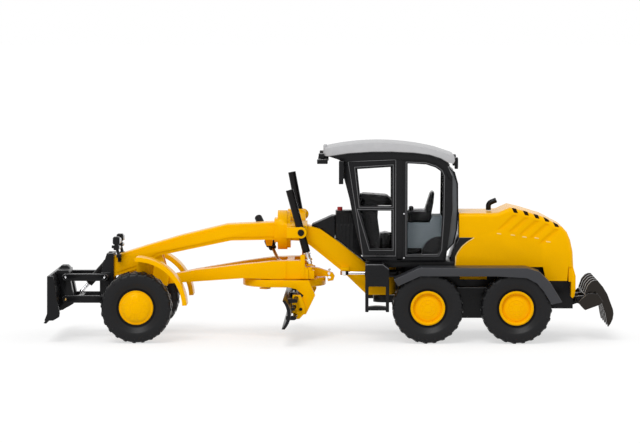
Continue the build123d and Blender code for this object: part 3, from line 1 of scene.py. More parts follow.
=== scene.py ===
# A 1:50 die-cast model of an articulated motor grader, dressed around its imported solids.
# Everything is in metres, in the frame of the solids: -X is the front, -Y the machine's left side
# and +Z up, with the ground at zero. Sizes written here are in millimetres and go through MM.
import json
import math

import bpy
from mathutils import Matrix, Vector

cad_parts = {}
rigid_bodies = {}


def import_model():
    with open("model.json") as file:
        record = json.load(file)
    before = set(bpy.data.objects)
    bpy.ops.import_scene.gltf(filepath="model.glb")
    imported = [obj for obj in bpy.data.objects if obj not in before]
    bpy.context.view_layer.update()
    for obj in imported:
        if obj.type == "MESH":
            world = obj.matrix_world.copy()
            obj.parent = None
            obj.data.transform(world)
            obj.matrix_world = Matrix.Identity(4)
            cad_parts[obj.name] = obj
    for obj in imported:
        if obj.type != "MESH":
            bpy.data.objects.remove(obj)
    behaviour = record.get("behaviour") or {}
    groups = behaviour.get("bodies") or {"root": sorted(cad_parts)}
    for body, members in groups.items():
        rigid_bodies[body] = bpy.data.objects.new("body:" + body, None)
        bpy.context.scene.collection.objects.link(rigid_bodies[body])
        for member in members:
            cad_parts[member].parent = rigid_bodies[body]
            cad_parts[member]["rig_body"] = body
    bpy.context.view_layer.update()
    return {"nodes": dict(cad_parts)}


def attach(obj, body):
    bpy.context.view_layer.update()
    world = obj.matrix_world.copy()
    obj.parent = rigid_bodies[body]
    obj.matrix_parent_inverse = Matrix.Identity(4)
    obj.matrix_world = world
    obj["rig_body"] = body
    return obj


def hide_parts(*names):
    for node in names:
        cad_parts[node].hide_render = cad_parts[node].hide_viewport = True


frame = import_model()

# Camera
# The photograph was taken square to the left side from a little above, with a long lens that
# stood about a metre away.
MM = 0.001
CAMERA_PLACE = Vector((12.8, -1059.5, 112.5)) * MM
CAMERA_AIM = Vector((-3.7, 0, 42.4)) * MM
CAMERA_LENS = 162.8
SIGHT_START = 0.01
SIGHT_END = 100
camera = bpy.data.objects.new("camera", bpy.data.cameras.new("camera"))
bpy.context.scene.collection.objects.link(camera)
camera.location = CAMERA_PLACE
camera.rotation_euler = (CAMERA_AIM - CAMERA_PLACE).to_track_quat("-Z", "Y").to_euler()
camera.data.lens = CAMERA_LENS
camera.data.clip_start = SIGHT_START
camera.data.clip_end = SIGHT_END
bpy.context.scene.camera = camera
bpy.context.scene.view_settings.view_transform = "Standard"

# Floor and light
# A white table under a bright studio ceiling: the model stands on it with only a faint soft shadow.
# One wide lamp lights the model's left side from above.
FLOOR_SIZE = 40.0
FLOOR_TONE = (0.9, 0.9, 0.9, 1)
FLOOR_GLOW = 0.5
FLOOR_WHITE = 1.22
STUDIO_WHITE = (1, 1, 1, 1)
CEILING_LIGHT = 0.65
KEY_LIGHT = 1.2
KEY_SPREAD = 0.5
KEY_SHINES = (0.25, 0.75, -0.95)


def new_material(name):
    """An empty node material, with its nodes and its links."""
    material = bpy.data.materials.new(name)
    material.use_nodes = True
    material.node_tree.nodes.clear()
    return material, material.node_tree.nodes, material.node_tree.links


def backdrop_rays(nodes, links):
    """One for the rays that see the backdrop straight, in a reflection or through glass, else nought."""
    ray_kind = nodes.new("ShaderNodeLightPath")
    seen = nodes.new("ShaderNodeMath")
    seen.operation = "MAXIMUM"
    through = nodes.new("ShaderNodeMath")
    through.operation = "MAXIMUM"
    links.new(ray_kind.outputs["Is Camera Ray"], seen.inputs[0])
    links.new(ray_kind.outputs["Is Glossy Ray"], seen.inputs[1])
    links.new(seen.outputs[0], through.inputs[0])
    links.new(ray_kind.outputs["Is Transmission Ray"], through.inputs[1])
    return through.outputs[0]


floor_material, nodes, links = new_material("white_table")
floor_out = nodes.new("ShaderNodeOutputMaterial")
table_paint = nodes.new("ShaderNodeBsdfDiffuse")
table_paint.inputs["Color"].default_value = FLOOR_TONE
table_glow = nodes.new("ShaderNodeEmission")
table_glow.inputs["Strength"].default_value = FLOOR_WHITE
seen_mix = nodes.new("ShaderNodeMixShader")
glow_share = nodes.new("ShaderNodeMath")
glow_share.operation = "MULTIPLY"
glow_share.inputs[1].default_value = FLOOR_GLOW
links.new(backdrop_rays(nodes, links), glow_share.inputs[0])
links.new(glow_share.outputs[0], seen_mix.inputs["Fac"])
links.new(table_paint.outputs[0], seen_mix.inputs[1])
links.new(table_glow.outputs[0], seen_mix.inputs[2])
links.new(seen_mix.outputs[0], floor_out.inputs["Surface"])
bpy.ops.object.select_all(action="DESELECT")
bpy.ops.mesh.primitive_plane_add(size=FLOOR_SIZE, location=(0, 0, 0))
floor = bpy.context.active_object
floor.name = "floor"
floor.data.materials.append(floor_material)

world = bpy.data.worlds.new("studio")
bpy.context.scene.world = world
world.use_nodes = True
nodes, links = world.node_tree.nodes, world.node_tree.links
nodes.clear()
world_out = nodes.new("ShaderNodeOutputWorld")
ceiling = nodes.new("ShaderNodeBackground")
ceiling.inputs["Color"].default_value = STUDIO_WHITE
ceiling.inputs["Strength"].default_value = CEILING_LIGHT
backdrop = nodes.new("ShaderNodeBackground")
backdrop.inputs["Color"].default_value = STUDIO_WHITE
world_mix = nodes.new("ShaderNodeMixShader")
links.new(backdrop_rays(nodes, links), world_mix.inputs["Fac"])
links.new(ceiling.outputs[0], world_mix.inputs[1])
links.new(backdrop.outputs[0], world_mix.inputs[2])
links.new(world_mix.outputs[0], world_out.inputs["Surface"])

key = bpy.data.objects.new("key_light", bpy.data.lights.new("key_light", "SUN"))
bpy.context.scene.collection.objects.link(key)
key.data.energy = KEY_LIGHT
key.data.angle = KEY_SPREAD
key.rotation_euler = Vector(KEY_SHINES).to_track_quat("-Z", "Y").to_euler()

# Gooseneck frame
# One zinc casting runs from the front axle over the blade and down to the hitch. It is sprayed
# yellow all over, and its side panel stands a little proud.
EDGE_ANGLE = math.radians(32)
WELD = 0.002
FLAT_ANGLE = math.radians(0.6)
HIGHLIGHT_UP = 0.15
# Order of a piece's skins: its own, a second one, and a lighter one painted as a highlight on its edges
OWN_SKIN, SECOND_SKIN, HIGHLIGHT_SKIN = 0, 1, 2
CLOUDS_PER_GRAIN = 0.12
CLOUD_DETAIL = 3
SPECK_DETAIL = 4
GLOSS_LOW = 0.8
GLOSS_HIGH = 1.25
COAT_ROUGHNESS = 0.08


def finish(name, colour, roughness, relief, grain, coat=0.0, metallic=0.0, shade=0.1, level=0.5,
           tint=(1, 1, 1)):
    """A painted, plated or moulded skin. Tone, gloss and relief vary over grains of that many millimetres."""
    material, nodes, links = new_material(name)
    out = nodes.new("ShaderNodeOutputMaterial")
    skin = nodes.new("ShaderNodeBsdfPrincipled")
    skin.inputs["Metallic"].default_value = metallic
    skin.inputs["Coat Weight"].default_value = coat
    skin.inputs["Coat Roughness"].default_value = COAT_ROUGHNESS
    skin.inputs["Specular IOR Level"].default_value = level
    skin.inputs["Specular Tint"].default_value = tint + (1,)
    place = nodes.new("ShaderNodeTexCoord")
    cloud = nodes.new("ShaderNodeTexNoise")
    cloud.inputs["Scale"].default_value = CLOUDS_PER_GRAIN / (grain * MM)
    cloud.inputs["Detail"].default_value = CLOUD_DETAIL
    tone = nodes.new("ShaderNodeMix")
    tone.data_type = "RGBA"
    tone.inputs["A"].default_value = tuple(c * (1 - shade) for c in colour) + (1,)
    tone.inputs["B"].default_value = tuple(min(1, c * (1 + shade / 2)) for c in colour) + (1,)
    speck = nodes.new("ShaderNodeTexNoise")
    speck.inputs["Scale"].default_value = 1 / (grain * MM)
    speck.inputs["Detail"].default_value = SPECK_DETAIL
    gloss = nodes.new("ShaderNodeMapRange")
    gloss.inputs["To Min"].default_value = roughness * GLOSS_LOW
    gloss.inputs["To Max"].default_value = roughness * GLOSS_HIGH
    bump = nodes.new("ShaderNodeBump")
    bump.inputs["Distance"].default_value = relief * MM
    links.new(place.outputs["Object"], cloud.inputs["Vector"])
    links.new(place.outputs["Object"], speck.inputs["Vector"])
    links.new(cloud.outputs["Fac"], tone.inputs["Factor"])
    links.new(tone.outputs["Result"], skin.inputs["Base Color"])
    links.new(speck.outputs["Fac"], gloss.inputs["Value"])
    links.new(gloss.outputs["Result"], skin.inputs["Roughness"])
    links.new(speck.outputs["Fac"], bump.inputs["Height"])
    links.new(bump.outputs["Normal"], skin.inputs["Normal"])
    links.new(skin.outputs[0], out.inputs["Surface"])
    return material


def alone(piece):
    """Leaves only this piece selected, and active."""
    bpy.ops.object.select_all(action="DESELECT")
    piece.select_set(True)
    bpy.context.view_layer.objects.active = piece


def smoothed(piece):
    """Shades the round stretches smooth and keeps the creases."""
    alone(piece)
    bpy.ops.object.shade_smooth_by_angle(angle=EDGE_ANGLE)


def rounded(piece, width, segments=2, skin=-1):
    """Rounds the sharp edges by a bevel of that many millimetres.

    The bevel's faces take the piece's skin of that number, or their neighbour's where it is -1.
    """
    alone(piece)
    bevel = piece.modifiers.new("edges", "BEVEL")
    bevel.width = width * MM
    bevel.segments = segments
    bevel.limit_method = "ANGLE"
    bevel.angle_limit = EDGE_ANGLE
    bevel.use_clamp_overlap = True
    bevel.material = skin
    bpy.ops.object.modifier_apply(modifier=bevel.name)


def dressed(node, material, edge, second=None, chosen=None):
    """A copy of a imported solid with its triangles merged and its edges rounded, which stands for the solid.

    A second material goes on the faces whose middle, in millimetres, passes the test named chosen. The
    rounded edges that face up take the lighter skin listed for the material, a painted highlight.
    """
    solid = frame["nodes"][node]
    piece = bpy.data.objects.new("skin_" + node, solid.data.copy())
    bpy.context.scene.collection.objects.link(piece)
    alone(piece)
    bpy.ops.object.mode_set(mode="EDIT")
    bpy.ops.mesh.select_all(action="SELECT")
    bpy.ops.mesh.remove_doubles(threshold=WELD * MM)
    bpy.ops.mesh.dissolve_limited(angle_limit=FLAT_ANGLE)
    bpy.ops.object.mode_set(mode="OBJECT")
    piece.data.materials.clear()
    for skin in (material, second or material, highlight_skins.get(material.name, material)):
        piece.data.materials.append(skin)
    if edge:
        rounded(piece, edge, skin=HIGHLIGHT_SKIN)
    smoothed(piece)
    # Only the rounded edges that face up keep the lighter skin, painted as a highlight
    for face in piece.data.polygons:
        if face.material_index == HIGHLIGHT_SKIN and face.normal.z < HIGHLIGHT_UP:
            face.material_index = OWN_SKIN
        if second and chosen(face.center / MM, face.normal):
            face.material_index = SECOND_SKIN
    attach(piece, solid["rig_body"])
    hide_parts(node)
    return piece


def fitted(piece, name, material, node, second=None, chosen=None):
    """Names a finished piece, gives it its skins, and lets it ride with the body that holds that solid."""
    piece.name = name
    piece.data.materials.clear()
    piece.data.materials.append(material)
    if second:
        piece.data.materials.append(second)
        for face in piece.data.polygons:
            face.material_index = SECOND_SKIN if chosen(face.center / MM, face.normal) else OWN_SKIN
    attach(piece, frame["nodes"][node]["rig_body"])
    return piece


# Lighter skins painted as highlights on the rounded edges that face up, by the name of the skin around them
highlight_skins = {}
yellow_paint = finish("yellow_paint", (1.0, 0.49, 0.0), roughness=0.26, relief=0.004, grain=0.45,
                      coat=0.04, shade=0.05, level=0.35, tint=(1.0, 0.5, 0.0))
# Painted highlight: a cream skin for the rounded edges of the yellow paint that face up
highlight_skins["yellow_paint"] = finish("yellow_painted_highlight", (1.0, 0.68, 0.22), roughness=0.25, relief=0.004,
                                   grain=0.45, coat=0.3, shade=0.05)
dressed("front_frame", yellow_paint, edge=0.25)

# Front axle
# A blackened beam under the nose with a fork at each end. The knuckles turn in the forks on
# kingpins and carry the stub axles.
SIDES = (("left", -1), ("right", 1))
cast_black = finish("cast_black", (0.008, 0.008, 0.009), roughness=0.28, relief=0.004, grain=0.35,
                    shade=0.2, level=0.16)
# Painted highlight: a grey skin for the rounded edges of the black castings that face up
highlight_skins["cast_black"] = finish("black_painted_highlight", (0.13, 0.13, 0.136), roughness=0.2, relief=0.004,
                                 grain=0.35, shade=0.2, level=0.8)
dressed("front_axle", cast_black, edge=0.15)
for side, hand in SIDES:
    dressed(f"knuckle_{side}", cast_black, edge=0.1)

# Front fenders
# Two sprayed zinc arches, each screwed to its knuckle by a plate inside the wheel.
FENDER_EDGE = 0.4
for side, hand in SIDES:
    dressed(f"front_fender_{side}", yellow_paint, edge=FENDER_EDGE)

# Tyres
# Soft black rubber rings with a sunk cone round the rim, a full sidewall and two rows of slanting
# bars that meet half a pitch apart. Near the rim the rubber is painted darker as the shade in the sunk cone.
WHEEL_R = 12.8
TRACK_HALF = 21.2
# Wheel stations: name, distance along the machine
WHEELS = (("front", -69.5), ("middle", 35.4), ("rear", 67.2))
# Section of the ring: distance out from the middle of the tyre, radius
TYRE_SECTION = (
    (0.0, 12.55), (2.9, 12.5), (3.5, 12.35), (3.95, 11.95), (4.15, 11.35), (4.24, 10.6), (4.26, 9.9),
    (4.2, 9.2), (3.95, 8.7), (3.35, 7.9), (2.95, 7.1), (2.8, 6.5), (2.75, 6.22),
)
TYRE_INSIDE = ((2.6, 6.2), (-2.6, 6.2))
RING_STEPS = 96
# Radius within which the rubber is painted darker as shade
PAINTED_SHADE_R = 7.2
# Section of one bar, which wraps over the shoulder: distance out, radius
BAR_SECTION = (
    (0.12, 12.3), (0.12, 12.8), (3.2, 12.8), (3.8, 12.58), (4.15, 12.08), (4.24, 11.5), (4.2, 11.1),
    (3.6, 11.5),
)
BARS = 24
BAR_LONG = 0.95
BAR_SLANT = 0.3
BAR_EDGE = 0.12


def spun(section, steps):
    """A closed section of (distance along Y, radius) points, turned round the Y axis."""
    bpy.ops.object.select_all(action="DESELECT")
    bpy.ops.mesh.primitive_circle_add(vertices=len(section), radius=MM)
    piece = bpy.context.active_object
    for vertex, (out, radius) in zip(piece.data.vertices, section):
        vertex.co = (radius * MM, out * MM, 0)
    bpy.ops.object.mode_set(mode="EDIT")
    bpy.ops.mesh.select_all(action="SELECT")
    bpy.ops.mesh.spin(steps=steps, angle=2 * math.pi, center=(0, 0, 0), axis=(0, 1, 0))
    bpy.ops.mesh.select_all(action="SELECT")
    bpy.ops.mesh.remove_doubles(threshold=WELD * MM)
    bpy.ops.mesh.normals_make_consistent(inside=False)
    bpy.ops.object.mode_set(mode="OBJECT")
    return piece


def plate(outline, y_low, y_high, edge):
    """A flat piece cut to an outline of (x, z) points, from one y to another, with its edges rounded."""
    bpy.ops.object.select_all(action="DESELECT")
    bpy.ops.mesh.primitive_circle_add(vertices=len(outline), radius=MM, fill_type="NGON")
    piece = bpy.context.active_object
    for vertex, (x, z) in zip(piece.data.vertices, outline):
        vertex.co = (x * MM, y_low * MM, z * MM)
    bpy.ops.object.mode_set(mode="EDIT")
    bpy.ops.mesh.select_all(action="SELECT")
    bpy.ops.mesh.extrude_region_move(TRANSFORM_OT_translate={"value": (0, (y_high - y_low) * MM, 0)})
    bpy.ops.mesh.select_all(action="SELECT")
    bpy.ops.mesh.normals_make_consistent(inside=False)
    bpy.ops.object.mode_set(mode="OBJECT")
    if edge:
        rounded(piece, edge)
    smoothed(piece)
    return piece


def copied(piece, move):
    """Another of a finished piece, with its own mesh, moved by a matrix."""
    twin = bpy.data.objects.new(piece.name, piece.data.copy())
    bpy.context.scene.collection.objects.link(twin)
    twin.data.transform(move)
    if move.determinant() < 0:
        twin.data.flip_normals()
    return twin


def joined(pieces):
    """Several pieces as one mesh."""
    bpy.ops.object.select_all(action="DESELECT")
    for piece in pieces:
        piece.select_set(True)
    bpy.context.view_layer.objects.active = pieces[0]
    bpy.ops.object.join()
    return pieces[0]


def mirrored(section):
    """A half section given from its middle outwards, with its other half."""
    return tuple((-out, radius) for out, radius in section[:0:-1]) + tuple(section)


tyre_rubber = finish("tyre_rubber", (0.009, 0.009, 0.01), roughness=0.36, relief=0.006, grain=0.3,
                     shade=0.15, level=0.2)
# Painted shade: a darker rubber for the sunk cone round the rim
rubber_painted_shade = finish("rubber_painted_shade", (0.004, 0.004, 0.0045), roughness=0.4, relief=0.006, grain=0.3,
                     shade=0.15, level=0.1)
tyre_form = spun(mirrored(TYRE_SECTION) + TYRE_INSIDE, RING_STEPS)
smoothed(tyre_form)
bar_form = plate(tuple((radius, out) for out, radius in BAR_SECTION), -BAR_LONG / 2, BAR_LONG / 2, BAR_EDGE)
for vertex in bar_form.data.vertices:
    radius, across, out = vertex.co
    turn = (across + out * BAR_SLANT) / (WHEEL_R * MM)
    vertex.co = (radius * math.cos(turn), out, radius * math.sin(turn))
bar_form.data.flip_normals()
bars = []
for bar_index in range(BARS):
    for row in (0, 1):
        turn = Matrix.Rotation(2 * math.pi * (bar_index + row / 2) / BARS, 4, "Y")
        face_over = Matrix.Scale(-1, 4, (0, 1, 0)) if row else Matrix.Identity(4)
        bars.append(copied(bar_form, turn @ face_over))
bpy.data.objects.remove(bar_form)
tyre_form = joined([tyre_form] + bars)
for station, wheel_x in WHEELS:
    for side, hand in SIDES:
        node = f"tyre_{station}_{side}"
        stand = Matrix.Translation(Vector((wheel_x, hand * TRACK_HALF, WHEEL_R)) * MM)
        face_out = Matrix.Rotation(math.pi, 4, "Z") if hand > 0 else Matrix.Identity(4)
        tyre = fitted(copied(tyre_form, stand @ face_out), f"tread_{station}_{side}", tyre_rubber,
                      node, rubber_painted_shade,
                      lambda place, normal: math.hypot(place.x - wheel_x, place.z - WHEEL_R) < PAINTED_SHADE_R)
        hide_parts(node)
bpy.data.objects.remove(tyre_form)

# Rims
# Yellow zinc discs pressed into the tyres: the front pair has a domed cap, and the others are
# dished round a flat hub. Raised rings and eight studs are cast into each.
RIM_EDGE = 0.2
# Rings on each kind of rim: distance out from the middle of the wheel, radius, thickness
RIM_RINGS = {
    "front": ((3.02, 5.85, 0.16), (3.95, 4.1, 0.14), (4.62, 2.1, 0.12)),
    "middle": ((3.4, 5.75, 0.16), (2.05, 4.5, 0.12), (2.5, 2.9, 0.14), (2.52, 1.5, 0.1)),
}
RIM_RINGS["rear"] = RIM_RINGS["middle"]
RING_SIDES = 72
HOOP_SIDES = 10
# Studs on each kind of rim: distance out from the middle of the wheel, radius of their circle
STUD_PLACE = {"front": (4.2, 3.2), "middle": (2.4, 2.2), "rear": (2.4, 2.2)}
STUD_COUNT = 8
STUD_SUNK = 0.6
STUD_PROUD = 0.25
STUD_R = 0.3
STUD_SIDES = 10


def bar(start, end, radius, edge=0.0, sides=28):
    """A round piece between two points, with its end edges rounded."""
    first, last = Vector(start) * MM, Vector(end) * MM
    along = last - first
    bpy.ops.object.select_all(action="DESELECT")
    bpy.ops.mesh.primitive_cone_add(
        vertices=sides, radius1=radius * MM, radius2=radius * MM, depth=along.length,
        location=(first + last) / 2, rotation=along.to_track_quat("Z", "Y").to_euler())
    bpy.ops.object.transform_apply(location=True, rotation=True, scale=True)
    piece = bpy.context.active_object
    if edge:
        rounded(piece, edge)
    smoothed(piece)
    return piece


def hoop(centre, along, radius, thick, sides):
    """A thin round ring about an axis."""
    bpy.ops.object.select_all(action="DESELECT")
    bpy.ops.mesh.primitive_torus_add(
        major_segments=sides, minor_segments=HOOP_SIDES, major_radius=radius * MM, minor_radius=thick * MM,
        location=Vector(centre) * MM, rotation=Vector(along).to_track_quat("Z", "Y").to_euler())
    bpy.ops.object.transform_apply(location=True, rotation=True, scale=True)
    piece = bpy.context.active_object
    smoothed(piece)
    return piece


for station, wheel_x in WHEELS:
    for side, hand in SIDES:
        node = f"rim_{station}_{side}"
        dressed(node, yellow_paint, edge=RIM_EDGE)
        hub_y = hand * TRACK_HALF
        details = [hoop((wheel_x, hub_y + hand * out, WHEEL_R), (0, 1, 0), radius, thick, RING_SIDES)
                   for out, radius, thick in RIM_RINGS[station]]
        stud_out, stud_circle = STUD_PLACE[station]
        for stud in range(STUD_COUNT):
            turn = 2 * math.pi * (stud + 0.5) / STUD_COUNT
            stud_x = wheel_x + stud_circle * math.cos(turn)
            stud_z = WHEEL_R + stud_circle * math.sin(turn)
            details.append(bar((stud_x, hub_y + hand * (stud_out - STUD_SUNK), stud_z),
                               (stud_x, hub_y + hand * (stud_out + STUD_PROUD), stud_z),
                               STUD_R, edge=0.08, sides=STUD_SIDES))
        fitted(joined(details), f"rim_rings_{station}_{side}", yellow_paint, node)

# Saddle
# A ring casting clamped round the gooseneck, in yellow zinc. Each lift cylinder hangs in a fork at
# its side, with a black pin right through.
SADDLE_EDGE = 0.3
# Pins of the lift cylinders: distance along the machine, height
LIFT_PINS = {"left": (-10.4, 39.2), "right": (-10.2, 44.3)}
FORK_OUT = 13.0
FORK_THICK = 0.7
FORK_ROOT_X = -15.6
FORK_HALF = 2.0
FORK_EDGE = 0.2
EYE_R = 2.1
EYE_TURNS = range(-110, 111, 20)
WEB_END_X = -13.9
WEB_HALF = 1.9
WEB_IN = 6.4
WEB_LAP = 0.3
PIN_HEAD_R = 1.2
PIN_SUNK = 0.2
PIN_PROUD = 0.45


def side_span(hand, inner, outer):
    """The low and the high y of a piece that reaches from inner to outer on that side."""
    return sorted((hand * inner, hand * outer))


dressed("saddle", yellow_paint, edge=SADDLE_EDGE)
barrel_black = finish("barrel_black", (0.005, 0.004, 0.004), roughness=0.3, relief=0.004, grain=0.3,
                      shade=0.2, level=0.16)
# The black barrels take the same painted highlight on their edges that face up
highlight_skins["barrel_black"] = highlight_skins["cast_black"]
for side, hand in SIDES:
    pin_x, pin_z = LIFT_PINS[side]
    root_low, root_high = (FORK_ROOT_X, pin_z - FORK_HALF), (FORK_ROOT_X, pin_z + FORK_HALF)
    eye = tuple((pin_x + EYE_R * math.cos(math.radians(turn)), pin_z + EYE_R * math.sin(math.radians(turn)))
                for turn in EYE_TURNS)
    cheek = plate(eye + (root_high, root_low), *side_span(hand, FORK_OUT, FORK_OUT + FORK_THICK), FORK_EDGE)
    web = plate((root_low, (WEB_END_X, pin_z - WEB_HALF), (WEB_END_X, pin_z + WEB_HALF), root_high),
                *side_span(hand, WEB_IN, FORK_OUT + WEB_LAP), FORK_EDGE)
    fitted(joined([cheek, web]), f"saddle_fork_{side}", yellow_paint, "saddle")
    pin_face = hand * (FORK_OUT + FORK_THICK)
    head = bar((pin_x, pin_face - hand * PIN_SUNK, pin_z), (pin_x, pin_face + hand * PIN_PROUD, pin_z),
               PIN_HEAD_R, edge=0.18)
    fitted(head, f"saddle_pin_{side}", barrel_black, "saddle")

# Lift cylinders
# Two black barrels that hold up the drawbar. Each bright rod ends in a nut and a ball that snaps
# into the drawbar.
LIFT_OUT = 11.0
# Barrel's top and rod's ball on each side, each with its distance along the machine and its height
LIFT_ENDS = {"left": ((-14.6, 54.6), (-7.4, 28.1)), "right": ((-14.3, 60.1), (-8.3, 28.7))}
NUT_HIGH = 1.42
NUT_LOW = 0.7
NUT_R = 1.4
NUT_SIDES = 6
LIP_DOWN = 0.35
LIP_R = 1.3
LIP_THICK = 0.14
LIP_SIDES = 28
chrome = finish("chrome_rod", (0.8, 0.8, 0.82), roughness=0.13, relief=0.001, grain=0.2, metallic=1.0,
                shade=0.05)
for side, hand in SIDES:
    dressed(f"lift_barrel_{side}", barrel_black, edge=0.15)
    dressed(f"lift_rod_{side}", chrome, edge=0)
    top_end, low_end = (Vector((x, hand * LIFT_OUT, z)) for x, z in LIFT_ENDS[side])
    reach = (low_end - top_end).normalized()
    nut = bar(low_end - reach * NUT_HIGH, low_end - reach * NUT_LOW, NUT_R, edge=0.12, sides=NUT_SIDES)
    fitted(nut, f"lift_nut_{side}", chrome, f"lift_rod_{side}")
    lip = hoop(top_end + reach * LIP_DOWN, reach, LIP_R, LIP_THICK, LIP_SIDES)
    fitted(lip, f"lift_cap_{side}", barrel_black, f"lift_barrel_{side}")

# Centre-shift cylinder
# It crosses under the gooseneck from the right. Its rod is brass, with a bright ball at its end.
SHIFT_BALL_TOP = 28.7
brass = finish("brass_rod", (0.62, 0.38, 0.12), roughness=0.2, relief=0.001, grain=0.2, metallic=1.0,
               shade=0.1)
dressed("shift_barrel", barrel_black, edge=0.15)
dressed("shift_rod", brass, edge=0, second=chrome,
        chosen=lambda place, normal: place.z < SHIFT_BALL_TOP)

# Drawbar
# A yellow zinc A-frame from the nose to the circle, with rimmed cups for the ball ends of the lift
# cylinders and a bright pin across its tail.
CUP_DOWN = 0.75
CUP_R = 1.25
CUP_THICK = 0.22
CUP_SIDES = 32
TAIL_PIN = (-0.3, 24.0)
TAIL_PIN_IN = 8.6
TAIL_PIN_OUT = 9.2
TAIL_PIN_R = 0.5
PIN_SIDES = 18
dressed("drawbar", yellow_paint, edge=0.22)
for cup, (side, hand) in enumerate(SIDES):
    cup_x, cup_z = LIFT_ENDS[side][1]
    seat_ring = hoop((cup_x, hand * LIFT_OUT, cup_z - CUP_DOWN), (0, 0, 1), CUP_R, CUP_THICK, CUP_SIDES)
    fitted(seat_ring, f"drawbar_cup_{cup}", yellow_paint, "drawbar")
tail_pin = joined([bar((TAIL_PIN[0], hand * TAIL_PIN_IN, TAIL_PIN[1]),
                       (TAIL_PIN[0], hand * TAIL_PIN_OUT, TAIL_PIN[1]),
                       TAIL_PIN_R, edge=0.12, sides=PIN_SIDES) for side, hand in SIDES])
fitted(tail_pin, "drawbar_tail_pin", chrome, "drawbar")

# Circle and blade arms
# The ring turns under the drawbar, and two arms hang from it to hold the blade. Both are sprayed
# zinc.
CIRCLE_EDGE = 0.25
dressed("circle_ring", yellow_paint, edge=CIRCLE_EDGE)
dressed("blade_arms", yellow_paint, edge=CIRCLE_EDGE)

# Blade
# A curved blackened sheet with a bolted cutting edge, on two rails. The rails slide in guides at
# the arms, which are yellow outside and turn on black pins.
GUIDE_OUTSIDE = 16
GUIDE_FOOT = 8.5
PITCH_PIN = (-10.35, 11.8)
PITCH_PIN_IN = 17.9
PITCH_PIN_OUT = 18.4
PITCH_PIN_R = 0.6
dressed("blade", cast_black, edge=0.1)
dressed("blade_guides", cast_black, edge=0.15, second=yellow_paint,
        chosen=lambda place, normal: abs(place.y) > GUIDE_OUTSIDE and place.z > GUIDE_FOOT)
for side, hand in SIDES:
    pin_head = bar((PITCH_PIN[0], hand * PITCH_PIN_IN, PITCH_PIN[1]),
                   (PITCH_PIN[0], hand * PITCH_PIN_OUT, PITCH_PIN[1]),
                   PITCH_PIN_R, edge=0.12, sides=PIN_SIDES)
    fitted(pin_head, f"blade_pin_{side}", barrel_black, "blade_guides")

# Front bracket
# A black casting screwed to the nose. It carries the arms of the dozer blade.
dressed("front_bracket", cast_black, edge=0.2)

# Dozer arms
# Two pairs of black links between the bracket and the mast, on riveted pins. The upper rivets are
# bright and the lower ones brass.
RIVET_IN = 9.7
RIVET_OUT = 10.2
RIVET_R = 0.42
RIVET_SIDES = 16
# Rivets: distance along the machine, height, solid that holds the pin, metal
RIVETS = (
    (-96.4, 22.5, "dozer_mast", chrome),
    (-96.4, 14.5, "dozer_mast", brass),
    (-82.1, 22.5, "front_bracket", chrome),
    (-82.1, 14.5, "front_bracket", brass),
)
for node in ("dozer_lower_arms", "dozer_upper_links"):
    dressed(node, cast_black, edge=0.15)
for number, (rivet_x, rivet_z, holder, metal) in enumerate(RIVETS):
    heads = joined([bar((rivet_x, hand * RIVET_IN, rivet_z), (rivet_x, hand * RIVET_OUT, rivet_z), RIVET_R,
                        edge=0.14, sides=RIVET_SIDES) for side, hand in SIDES])
    fitted(heads, f"rivets_{number}", metal, holder)

# Dozer blade and mast
# The blade is a curved black casting with end plates, held by a mast of two cheeks under a head.
dressed("dozer_blade", cast_black, edge=0.15)
dressed("dozer_mast", cast_black, edge=0.2)

# Dozer cylinder
# A ribbed black barrel with a bright rod between the bracket and the mast.
dressed("dozer_barrel", barrel_black, edge=0.12)
dressed("dozer_rod", chrome, edge=0)

# Headlights
# Two black moulded housings a side on thin stalks. The upper ones have silvered lenses in front,
# and all have silvered shells behind.
LAMP_X = -77.85
LAMP_Y = 8.0
LENS_BACK = 1.1
LENS_FRONT = 1.35
LENS_R = 1.05
LENS_SIDES = 32
# Housings, the upper one first: height, where the shell starts, how tall it is
LAMPS = ((35.9, -76.65, 2.2), (33.4, -76.8, 1.4))
SHELL_DEEP = 0.55
SHELL_TAPER = 0.3
SHELL_IN = 6.8
SHELL_OUT = 9.2
dressed("headlights", cast_black, edge=0.25)
silver_paint = finish("silver_paint", (0.62, 0.63, 0.65), roughness=0.25, relief=0.002, grain=0.2,
                      metallic=0.7, shade=0.08)
for side, hand in SIDES:
    shells = []
    for lamp_z, shell_x, tall in LAMPS:
        low, high, back_x = lamp_z - tall / 2, lamp_z + tall / 2, shell_x + SHELL_DEEP
        shell_line = ((shell_x, low), (back_x, low + SHELL_TAPER), (back_x, high - SHELL_TAPER),
                      (shell_x, high))
        shells.append(plate(shell_line, *side_span(hand, SHELL_IN, SHELL_OUT), edge=0.15))
    lens_z = LAMPS[0][0]
    shells.append(bar((LAMP_X - LENS_BACK, hand * LAMP_Y, lens_z),
                      (LAMP_X - LENS_FRONT, hand * LAMP_Y, lens_z), LENS_R, edge=0.1, sides=LENS_SIDES))
    fitted(joined(shells), f"lamp_shells_{side}", silver_paint, "headlights")

# Fairing
# A black moulded wedge on the gooseneck in front of the cab, which turns with the front frame.
dressed("neck_fairing", cast_black, edge=0.3)

